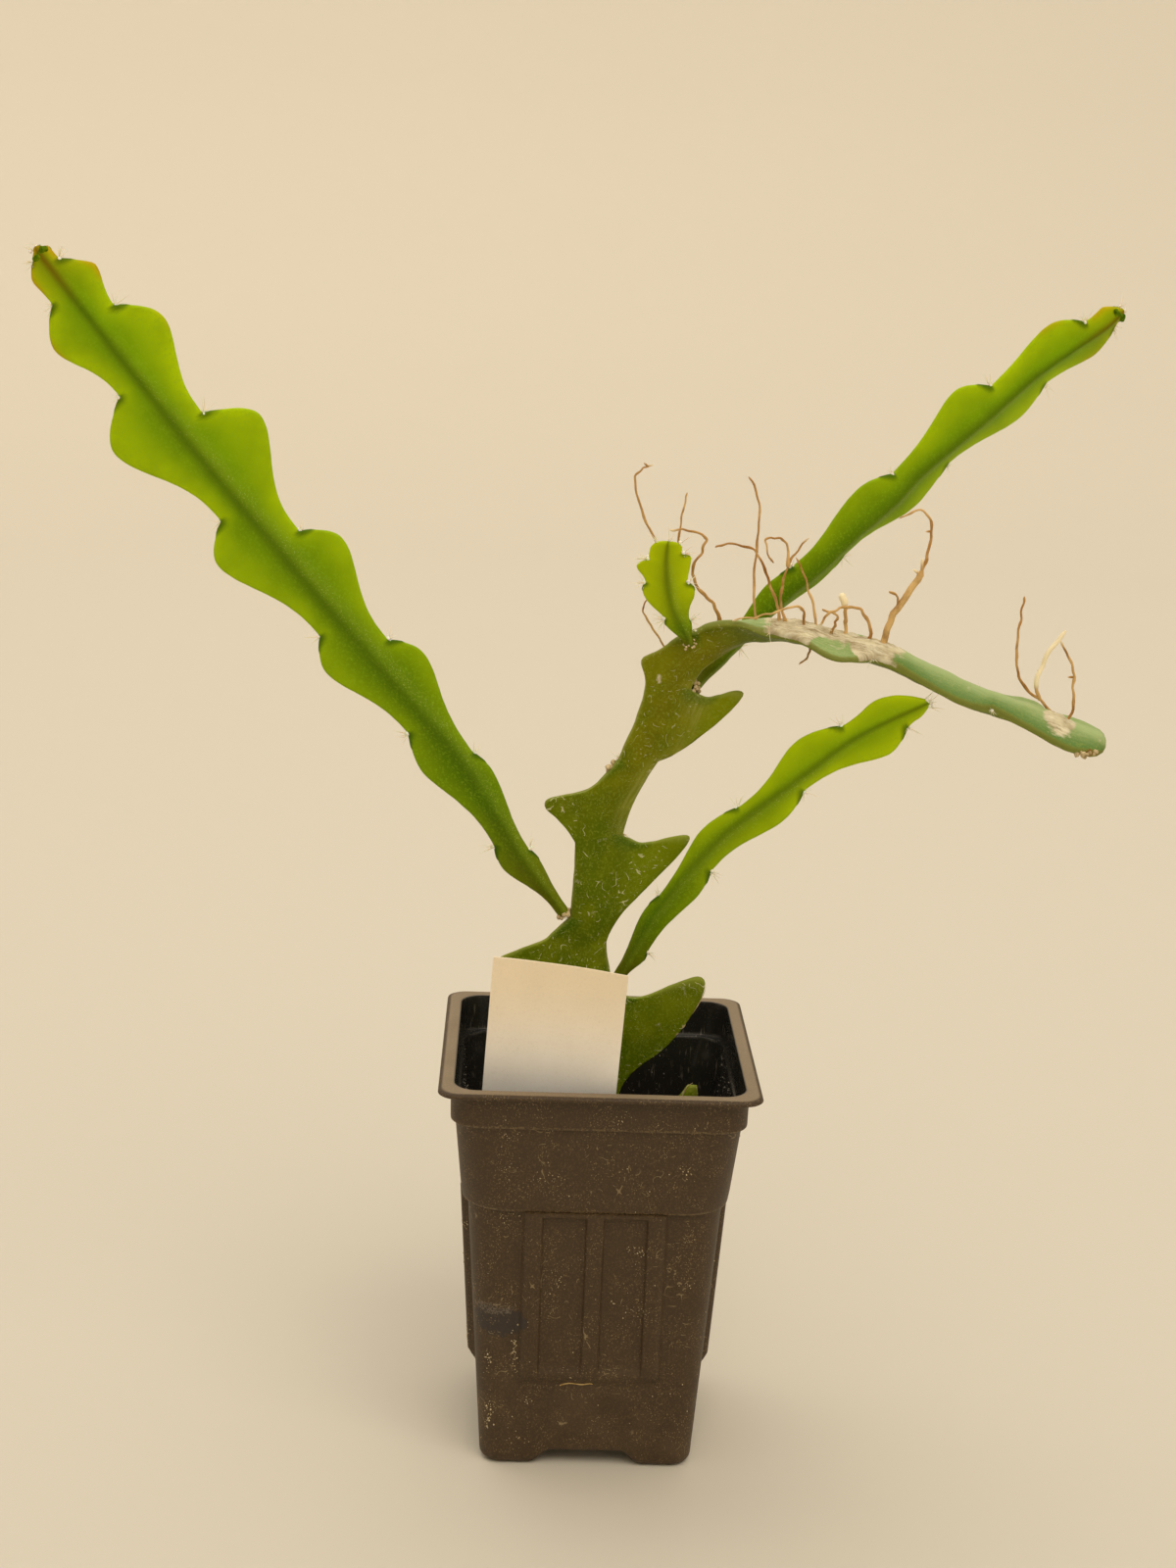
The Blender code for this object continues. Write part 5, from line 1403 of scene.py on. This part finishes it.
def cut_drains(pot):
    """Cut the drain holes through the pot's floor."""
    cutter = bmesh.new()
    for x, y in ((0, 0), (DRAIN_OFFSET, 0), (-DRAIN_OFFSET, 0), (0, DRAIN_OFFSET), (0, -DRAIN_OFFSET)):
        spot = Matrix.Translation(Vector(place([(x, y, FLOOR_Z)])[0]))
        bmesh.ops.create_cone(cutter, cap_ends=True, segments=32, radius1=DRAIN_RADIUS * MM,
                              radius2=DRAIN_RADIUS * MM, depth=8 * MM, matrix=spot)
    mesh = bpy.data.meshes.new("drain_cutters")
    cutter.to_mesh(mesh)
    cutter.free()
    tool = new_object("drain_cutters", mesh)
    modifier = pot.modifiers.new("Drains", "BOOLEAN")
    modifier.operation = "DIFFERENCE"
    modifier.solver = "EXACT"
    modifier.object = tool
    depsgraph = bpy.context.evaluated_depsgraph_get()
    pot.data = bpy.data.meshes.new_from_object(pot.evaluated_get(depsgraph))
    pot.modifiers.remove(modifier)
    bpy.data.objects.remove(tool)


def pot_piece(material):
    """The moulded pot: outer wall with pads and feet, flange, inner wall, floor and drains."""
    outer = [pot_ring(*row, True) for row in lower_rows()] + [pot_ring(*row) for row in upper_rows()]
    inner = [pot_ring(*row) for row in inner_rows()]
    inner += [[(x * scale, y * scale, FLOOR_Z) for x, y, _ in inner[-1]] for scale in (0.66, 0.33, 0.05)]
    rings = underside_rings(outer[0]) + outer + inner
    points = np.vstack(rings)
    size = len(rings[0])
    heights = points[:, 2]
    inside = (np.arange(len(points)) >= (len(rings) - len(inner) + 1) * size).astype(float)
    outside = 1.0 - inside
    # Thin bands at the step and collar, painted lighter: partly wear, partly a painted highlight on the edges
    worn_and_lit_edge = np.maximum(np.abs(heights - STEP_Z - 0.2) < 0.35, np.abs(heights - COLLAR_Z - 0.1) < 0.25)
    obj = mesh_piece("nursery_pot", place(points), loft_faces(len(rings), size), material,
                     # The flange mark is where the top of the flange gets its painted highlight
                     {"inside": inside, "flange": (heights > POT_HEIGHT - 0.05) * outside,
                      "low": (1.0 - smooth_step(4.0, 60.0, heights)) * outside, "worn_and_lit_edge": worn_and_lit_edge * outside})
    face_outwards(obj)
    cut_drains(obj)
    obj.data.set_sharp_from_angle(angle=math.radians(50))
    return obj


def wall_point(quarter, t, z, lift):
    """A point on one outer side of the pot, a little proud of it; quarter 0 is the front."""
    if z < STEP_Z:
        half, radius = lower_wall_half(z) + pad_relief(t, z), lower_corner(z)
    elif z < COLLAR_Z:
        share = (z - STEP_Z) / (COLLAR_Z - STEP_Z)
        half, radius = upper_wall(share)[0], STEP_RADIUS - 4.0 * share
    else:
        half, radius = COLLAR_HALF - 0.08, 8.0
    past = max(0.0, abs(t) - (half - radius))
    return turned(quarter - 1, half - radius + math.sqrt(max(0.0, radius ** 2 - past ** 2)) + lift, t, z)


def grit_grains(settings):
    """Centres and radii of the grains stuck to the pot's outer sides."""
    rng = random.Random(GRIT_SEED)
    centres, radii = [], []

    def strewn(x, z, w, h, size=None):
        return x + rng.gauss(0, 0.55) * w, z + rng.gauss(0, 0.55) * h, size or rng.uniform(0.8, 1.4)

    for quarter in range(4):
        spots = []
        if quarter == 0:
            for *crowd, count, size in GRIT_CROWDS:
                spots += [strewn(*crowd, size) for _ in range(count)]
        else:
            for _ in range(SIDE_CROWDS):
                crowd = [rng.uniform(*ends) for ends in ((-28, 28), (8, 112), (1, 3.5), (1, 4))]
                spots += [strewn(*crowd) for _ in range(CROWD_GRAINS)]
        spots += [(rng.uniform(-31, 31), rng.uniform(4, 116), 0.85) for _ in range(settings.loose_grains)]
        for x, z, size in spots:
            z = min(max(z, 4.0), 116.5)
            if abs(z - COLLAR_Z) > 0.5 and abs(z - STEP_Z) > 0.8 and abs(x) < 31.5:
                radius = settings.grit_size / MM * size * rng.choice((0.6, 0.75, 0.9, 1.0, 1.5))
                centres.append(wall_point(quarter, x, z, 0.3 * radius))
                radii.append(radius)
    return centres, radii


def inner_specks(settings):
    """Centres and radii of the pale specks dried on the inner wall."""
    rng = random.Random(SPECK_SEED)
    centres, radii = [], []
    for quarter in (number // INNER_SPECKS for number in range(4 * INNER_SPECKS)):
        t, share = rng.uniform(-29, 29), rng.uniform(0.1, 0.98)
        half, z = upper_wall(share)
        centres.append(turned(quarter, half - WALL - 0.03, t, z))
        radii.append(settings.grit_size / MM * rng.choice((0.6, 0.7, 0.8, 0.9, 1.5)))
    return centres, radii


def stuck_fibre():
    """The dry fibre stuck to the foot of the front pad, as one strand."""
    route = [(-8.2, 26.4), (-6.8, 27.0), (-5.2, 27.3), (-3.2, 27.0), (-1.6, 26.9), (0.4, 27.3), (1.2, 27.1)]
    curve = [wall_point(0, x, z, 0.12) for x, z in smooth_rows(route, 4)]
    return [(curve, [0.15] * (len(curve) - 1) + [0.06], {})]


# Soil and label shapes

def soil_bump(x, y):
    """Gentle unevenness of the soil's surface."""
    return SOIL_BUMP * (math.sin(0.31 * x + 1.1) * math.cos(0.27 * y) + 0.5 * math.sin(0.55 * y + 0.2 * x))


def soil_piece(material):
    """The compost's surface, crumbled, over a plain block down inside the pot."""
    rings = [pot_ring(lower_wall_half(FLOOR_Z) - 1.6, 5.0, FLOOR_Z + 0.35),
             pot_ring(LOWER_TOP_HALF - 1.6, 8.0, STEP_Z - 1.2), pot_ring(SOIL_HALF, 12.2, STEP_Z + 1.2)]
    edge = pot_ring(SOIL_HALF, 12.2, SOIL_TOP)
    for ring in range(SOIL_RINGS):
        level = []
        for x, y, z in edge:
            x, y = x * (1.0 - ring / SOIL_RINGS), y * (1.0 - ring / SOIL_RINGS)
            crumble = 0.8 * noise.noise(Vector((x, y, 3.0)) * 0.45)
            crumble += 0.35 * noise.noise(Vector((x, y, 9.0)) * 1.3)
            level.append((x, y, z + min(1.0, 0.4 + ring) * soil_bump(x, y) + crumble))
        rings.append(level)
    points = np.vstack(rings)
    inner = np.abs(points[:, :2]).max(axis=1) < SOIL_HALF - 2.2
    obj = mesh_piece("potting_soil", place(points), loft_faces(len(rings), len(edge)), material,
                     {"bearing": (points[:, 2] > SOIL_TOP - 4.0) & inner})
    face_outwards(obj)
    return obj


def label_piece(settings, material):
    """The bare card: a thin slab, bowed across and a little along."""
    across, down = 24, 40
    turn = (Matrix.Rotation(math.radians(CARD_YAW), 3, "Z") @ Matrix.Rotation(math.radians(CARD_LEAN), 3, "X")
            @ Matrix.Rotation(math.radians(CARD_TILT), 3, "Y"))
    points = []
    for front in (-1, 1):
        for i in range(down + 1):
            for j in range(across + 1):
                u, v = 2.0 * j / across - 1.0, i / down
                x = u * CARD_SIZE[0] / 2
                bow = settings.bow / MM * (u * u - 0.5 + 0.4 * math.sin(3.0 * v + 0.5))
                wave = 0.12 * noise.noise(Vector((x * 0.1, v * 6.0, 0.0)))
                y = -bow + wave + front * settings.thickness / MM / 2
                points.append(turn @ Vector((x, y, -CARD_SIZE[1] * v)) + Vector(CARD_TOP_MIDDLE))
    row = across + 1
    sheet = row * (down + 1)
    faces = []
    for a in (i * row + j for i in range(down) for j in range(across)):
        faces.append((a, a + 1, a + row + 1, a + row))
        faces.append((sheet + a, sheet + a + row, sheet + a + row + 1, sheet + a + 1))
    border = [*range(across), *range(across, sheet - 1, row), *range(sheet - 1, sheet - row, -1),
              *range(sheet - row, 0, -row)]
    faces += [(a, sheet + a, sheet + b, b) for a, b in zip(border, border[1:] + border[:1])]
    obj = mesh_piece("plant_label", place(points), faces, material)
    face_outwards(obj)
    obj.data.set_sharp_from_angle(angle=math.radians(40))
    return obj


# Areoles and roots

def hair_line(root, aim, length, radius, rng, droop):
    """A thin tapering hair that bends a little on its way out, as a strand."""
    bend = np.array([rng.uniform(-1, 1) for _ in range(3)]) * droop
    points = [root + aim * length * s + bend * length * s * s for s in (-0.12, 0.25, 0.6, 1.0)]
    return clamp_to_box(points), [radius, radius * 0.9, radius * 0.6, radius * 0.15], {}


def clamp_to_box(points, gap=0.35):
    """Keep points a gap inside the frame's own box, whose sides the tips of bristles reach."""
    low, high = (np.array(corner) / MM - (*POT_CENTRE, 0.0) for corner in CAD_BOX)
    return [np.minimum(np.maximum(p, low + gap), high - gap) for p in points]


def stem_areoles(spec):
    """Each areole of a stem: its point, the way out, the way along, its face, and if it is bare."""
    stem = Stem(spec)
    found = []
    for side, number in stem.every_tooth():
        if number == 0 and not spec.bare:
            continue
        start, _ = stem.areole(side, number)
        point, _, out = stem.rim(side, start)
        tangent, face, _ = stem.frame(start)
        found.append((point, out, tangent, face, start in spec.bare))
    if not spec.bare:
        tangent, face, across = stem.frame(stem.length)
        for share in (-0.9, 0.1, 1.0):
            point = stem.centre(stem.length) + across * share * spec.tip_waist + tangent * 0.5
            found.append((point, unit(tangent + across * share * 0.5), across, face, True))
    return found


def areole_lines(spec, settings, rng, vigour):
    """Bristles and wool hairs of every areole of one stem, and its wool pads."""
    bristles, hairs, pads = [], [], []
    for point, out, tangent, face, bare in stem_areoles(spec):
        count = round(settings.bristles * vigour * (0.35 if bare else rng.uniform(0.5, 1.2)))
        for _ in range(count):
            lean = math.radians(rng.uniform(8, 62))
            spin = rng.uniform(0, math.tau)
            aside = tangent * math.cos(spin) + face * math.sin(spin)
            aim = unit(out * math.cos(lean) + aside * math.sin(lean) + tangent * 0.15)
            length = settings.bristle_length / MM * rng.uniform(0.35, 1.0)
            bristles.append(hair_line(point, aim, length, settings.bristle_radius / MM, rng, 0.12))
        for _ in range(settings.hairs // 4 if bare else settings.hairs):
            aim = unit(out + tangent * rng.uniform(-1, 1) + face * rng.uniform(-1, 1))
            hairs.append(hair_line(point, aim, rng.uniform(0.6, 1.3), 0.1, rng, 0.5))
        for _ in range(1 if bare else 3):
            shift = tangent * rng.uniform(-0.6, 0.6) + face * rng.uniform(-0.5, 0.5)
            pads.append((clamp_to_box([point + out * 0.15 + shift], 1.0)[0],
                         rng.uniform(0.35, 0.6) * min(1.15, vigour)))
    return bristles, hairs, pads


def wander(points, rng, amount):
    """A root's route with small kinks, as dried roots have."""
    curve = smooth_rows(points, 7)
    shift = rng.uniform(0, 50)
    kinks = [[noise.noise(Vector((i * 0.31 + shift, k * 7.3, 0.0))) for k in range(3)]
             for i in range(len(curve))]
    fade = np.minimum(1.0, np.arange(len(curve)) / 6.0)[:, None]
    return curve + np.array(kinks) * amount * fade


def root_lines(settings):
    """Every aerial root and its side stubs, with radii that swell at the joints."""
    rng = random.Random(settings.seed)
    lines, curves = [], []
    for index, (foot, tip, route) in enumerate(AERIAL_ROOTS):
        curve = wander(route, rng, ROOT_KINKS)
        curves.append(curve)
        count = len(curve)
        along = np.linspace(0, 1, count)
        radius = (foot + (tip - foot) * along) * (STOUT if index in STOUT_ROOTS else DRIED)
        beat = rng.uniform(2.5, 5.0)
        radius *= 1.0 + ROOT_JOINTS * np.maximum(0.0, np.sin(along * beat * math.tau + index)) ** 4
        radius *= 1.0 + ROOT_FLARE * (1.0 - smooth_step(0.0, 0.14, along))
        live = smooth_step(0.93, 1.0, along) * (0.7 if index % 3 == 0 else 0.0)
        straw = [0.5 + 0.9 * noise.noise(Vector((a * 3.0, index * 2.7, 1.0))) for a in along]
        straw = np.clip(straw, 0, 1)
        if index == FAT_TIPPED:
            radius = np.where(along > 0.70, 1.02, radius * 0.85)
            live = smooth_step(0.62, 0.70, along)
        if index == FAT_FOOTED:
            radius = np.where(along < 0.42, 0.95, radius * 0.8)
            straw = np.maximum(straw, 1.0 - smooth_step(0.38, 0.5, along))
        if index == LIVE_ROOT:
            radius = np.where(along > 0.25, 0.62, 0.5)
            live = smooth_step(0.2, 0.35, along)
        radius[-1] *= 0.45
        lines.append((curve, radius, {"straw": straw, "live": live}))
        for _ in range(rng.choice((0, 0, 1, 1))):
            at = rng.randrange(count // 4, count - 3)
            aim = unit(np.array([rng.uniform(*ends) for ends in ((-1, 1), (-1, 0.4), (-0.2, 1))]))
            stub = [curve[at] + aim * s for s in (0.0, 0.7, 1.3, rng.uniform(1.6, 2.4))]
            lines.append((stub, [0.33, 0.3, 0.26, 0.14],
                          {"straw": [0.3] * 4, "live": [0.0, 0.0, 0.0, 0.5]}))
    for index, share, way, length in SNAPPED_STUBS:
        start = curves[index][int(share * len(curves[index]))]
        stub = [start + unit(np.array(way)) * length * s for s in (0.0, 0.35, 0.7, 1.0)]
        lines.append((stub, [0.5, 0.44, 0.4, 0.24], {"straw": [0.6] * 4, "live": [0.0, 0.2, 0.8, 1.0]}))
    return lines


# Stage

def camera_axes():
    """The camera's right, up and forward directions, from its yaw, pitch and roll."""
    pitch, yaw, roll = (math.radians(a) for a in (CAMERA_PITCH, CAMERA_YAW, CAMERA_ROLL))
    forward = Vector((math.sin(yaw) * math.cos(pitch), math.cos(yaw) * math.cos(pitch), -math.sin(pitch)))
    right = Vector((math.cos(yaw), -math.sin(yaw), 0.0))
    up = right.cross(forward)
    return (right * math.cos(roll) + up * math.sin(roll),
            up * math.cos(roll) - right * math.sin(roll), forward)


def dish_floor(material):
    """A wide pale floor that curves up far away on every side, so no edge or horizon shows."""
    rings = [(radius * math.cos(angle), radius * math.sin(angle), height)
             for radius, height in DISH for angle in np.linspace(0.0, math.tau, DISH_SIDES, endpoint=False)]
    faces = loft_faces(len(DISH), DISH_SIDES, True, False)
    mesh_piece("studio_floor", rings, faces, material)


def sun_light(name, from_way, strength, spread, colour):
    """A broad soft light from one direction, the same all over the stage."""
    data = bpy.data.lights.new(name, "SUN")
    data.energy = strength
    data.angle = math.radians(spread)
    data.color = colour[:3]
    new_object(name, data).rotation_euler = (-Vector(from_way)).to_track_quat("-Z", "Y").to_euler()


# Operators

class CACTUS_OT_pot(bpy.types.Operator):
    """Make the nursery pot with its scuffed, dusty plastic and the grit on its wall"""
    bl_idname = "cactus.pot"
    bl_label = "Nursery pot"

    def execute(self, context):
        settings = context.scene.cactus_pot
        wear(pot_piece(pot_plastic(settings)), "pot_plastic", "pot")
        dry = speckled("Dried compost grit", settings.grit, "A08A62", 1.11, 0.9)
        wear(tufts("pot_grit", *grit_grains(settings), dry), "soil_earth")
        lime = speckled("Dried lime specks", "B9B5AC", "8F8A80", 1.11, 0.9)
        wear(tufts("inner_specks", *inner_specks(settings), lime), "soil_earth")
        straw = speckled("Dry straw fibre", "D8BC7C", "B39150", 0.833, 0.7)
        wear(strands("stuck_fibre", stuck_fibre(), straw, {"Sides": 6}), "soil_earth")
        return {"FINISHED"}


class CACTUS_OT_soil(bpy.types.Operator):
    """Make the compost and scatter its crumbs, bark chips and perlite"""
    bl_idname = "cactus.soil"
    bl_label = "Potting soil"

    def execute(self, context):
        settings = context.scene.cactus_soil
        peat = speckled("Damp peat", settings.peat, "1E150E", 2.63, 0.95)
        soil = soil_piece(peat)
        bark = speckled("Bark chip", settings.bark, "3E2A1B", 2.0, 0.9)
        perlite = speckled("Expanded perlite", settings.perlite, "B9B2A2", 1.43, 0.95)
        # Name, look, flatness, fineness, grains in a square metre, and size over a crumb's
        grains = (("peat_crumbs", peat, 0.8, 1, 300000.0, 1.0), ("bark_chips", bark, 0.35, 2, 42000.0, 2.2),
                  ("perlite_grains", perlite, 0.9, 2, 16000.0, 0.9))
        for step, (name, look, flat, detail, density, size) in enumerate(grains):
            values = {"Density": density, "Size": settings.crumb_size * size, "Seed": settings.seed + step}
            wear(grow(soil, scatter_tree(look, flat, detail), values, name), "soil_earth")
        wear(soil, "soil_earth", "soil")
        return {"FINISHED"}


class CACTUS_OT_label(bpy.types.Operator):
    """Make the bare card that stands in the soil"""
    bl_idname = "cactus.label"
    bl_label = "Plant label"

    def execute(self, context):
        settings = context.scene.cactus_label
        wear(label_piece(settings, card_paper(settings)), "label_paper", "label_card")
        return {"FINISHED"}


class CACTUS_OT_old_stem(bpy.types.Operator):
    """Make the old stem that rises from the soil and arches over"""
    bl_idname = "cactus.old_stem"
    bl_label = "Old stem"

    def execute(self, context):
        stem = blade_piece("old_stem", MAIN, old_skin(context.scene.cactus_skin), old_masks, old_relief)
        cork = speckled("Cork callus", "D6C49A", "A08A60", 1.11, 0.9)
        for piece in (stem, tufts("branch_callus", *callus_lumps(), cork, 2),
                      strands("margin_cork", margin_cork(), cork, {"Sides": 7})):
            wear(piece, "old_stem_green", "main_stem")
        return {"FINISHED"}


class CACTUS_OT_branches(bpy.types.Operator):
    """Make the young branches and the top shoot"""
    bl_idname = "cactus.branches"
    bl_label = "Young branches"

    def execute(self, context):
        skin = young_skin(context.scene.cactus_skin)
        bud = speckled("Young bud skin", "7A9600", "3C5E04", 1.43, 0.6, Specular_IOR_Level=0.05)
        for node, spec in YOUNG_STEMS.items():
            blade = blade_piece("young_" + node, spec, skin, young_masks, young_relief)
            wear(blade, "young_stem_green", node)
            if spec.blush:
                wear(tufts(node + "_buds", *tip_buds(spec), bud, 2), "young_stem_green")
        return {"FINISHED"}


class CACTUS_OT_areoles(bpy.types.Operator):
    """Grow bristles and wool at every areole"""
    bl_idname = "cactus.areoles"
    bl_label = "Areoles"

    def execute(self, context):
        settings = context.scene.cactus_areoles
        rng = random.Random(settings.seed)
        bristle = plain_hair("Areole bristle", settings.bristle, 0.5)
        wool = plain_hair("Areole wool", settings.wool, 0.9)
        for name, spec in {"old_stem": MAIN, **YOUNG_STEMS}.items():
            vigour = VIGOUR.get(name, 1.0)
            bristles, hairs, pads = areole_lines(spec, settings, rng, vigour)
            slot = "old_stem_green" if name == "old_stem" else "young_stem_green"
            wear(strands(name + "_bristles", bristles, bristle, {"Sides": 3}), slot)
            wear(strands(name + "_wool", hairs, wool, {"Sides": 3}), slot)
            wear(tufts(name + "_wool_pads", *zip(*pads), wool), slot)
        return {"FINISHED"}


class CACTUS_OT_roots(bpy.types.Operator):
    """Grow the aerial roots of the old stem"""
    bl_idname = "cactus.roots"
    bl_label = "Aerial roots"

    def execute(self, context):
        settings = context.scene.cactus_roots
        roots = strands("aerial_roots", root_lines(settings), root_bark(settings),
                        {"Sides": settings.sides, "Lumps": settings.lumps, "Lump Scale": cells(2.38)})
        wear(roots, "old_stem_green", "main_stem")
        return {"FINISHED"}


class CACTUS_OT_stage(bpy.types.Operator):
    """Set up the floor, the soft light and the camera"""
    bl_idname = "cactus.stage"
    bl_label = "Stage"

    def execute(self, context):
        scene, settings = context.scene, context.scene.cactus_stage
        # Matt paper scatters the light all ways, so the floor shows a soft shadow and no glare
        material, shader, *_ = new_material("Matt studio paper", Roughness=0.9)
        dish_floor(material)
        connect(shader, Base_Color=settings.floor)
        scene.world = bpy.data.worlds.new("Soft studio")
        scene.world.use_nodes = True
        connect(scene.world.node_tree.nodes["Background"], linear("FFF4E2"), settings.ambient)
        sun_light("key", (0.35, -0.85, 1.0), settings.key_strength, 50.0, linear("FFF1DA"))
        sun_light("back", (-0.3, 0.6, 1.0), settings.back_strength, 60.0, linear("FFF4E2"))
        right, up, forward = camera_axes()
        data = bpy.data.cameras.new("photo_camera")
        data.lens = CAMERA_LENS
        data.sensor_width = SENSOR
        data.clip_start = 0.01
        data.clip_end = 50.0
        scene.camera = new_object("photo_camera", data)
        turn = Matrix((right, up, -forward)).transposed().to_4x4()
        scene.camera.matrix_world = Matrix.Translation(Vector(place([CAMERA_SPOT])[0])) @ turn
        scene.view_settings.view_transform = "Standard"
        return {"FINISHED"}


class CACTUS_PT_sidebar(bpy.types.Panel):
    """Lists the cactus's pieces"""
    bl_label = "Ric Rac Cactus"
    bl_idname = "CACTUS_PT_sidebar"
    bl_space_type = "VIEW_3D"
    bl_region_type = "UI"
    bl_category = "Cactus"

    def draw(self, context):
        for operator in OPERATORS:
            self.layout.operator(operator.bl_idname)


SETTINGS = {"cactus_pot": CactusPotSettings, "cactus_soil": CactusSoilSettings,
            "cactus_label": CactusLabelSettings, "cactus_skin": CactusSkinSettings,
            "cactus_areoles": CactusAreoleSettings, "cactus_roots": CactusRootSettings,
            "cactus_stage": CactusStageSettings}
OPERATORS = (CACTUS_OT_pot, CACTUS_OT_soil, CACTUS_OT_label, CACTUS_OT_old_stem, CACTUS_OT_branches,
             CACTUS_OT_areoles, CACTUS_OT_roots, CACTUS_OT_stage)


def register():
    """Register the settings, the operators and the panel."""
    for name, group in SETTINGS.items():
        bpy.utils.register_class(group)
        setattr(bpy.types.Scene, name, PointerProperty(type=group))
    for operator in OPERATORS:
        bpy.utils.register_class(operator)
    bpy.utils.register_class(CACTUS_PT_sidebar)


def unregister():
    """Take everything out again."""
    bpy.utils.unregister_class(CACTUS_PT_sidebar)
    for operator in reversed(OPERATORS):
        bpy.utils.unregister_class(operator)
    for name, group in SETTINGS.items():
        delattr(bpy.types.Scene, name)
        bpy.utils.unregister_class(group)


def main():
    """Make every piece and the stage."""
    register()
    for operator in OPERATORS:
        getattr(bpy.ops.cactus, operator.bl_idname.split(".")[1])()


if __name__ == "__main__":
    main()
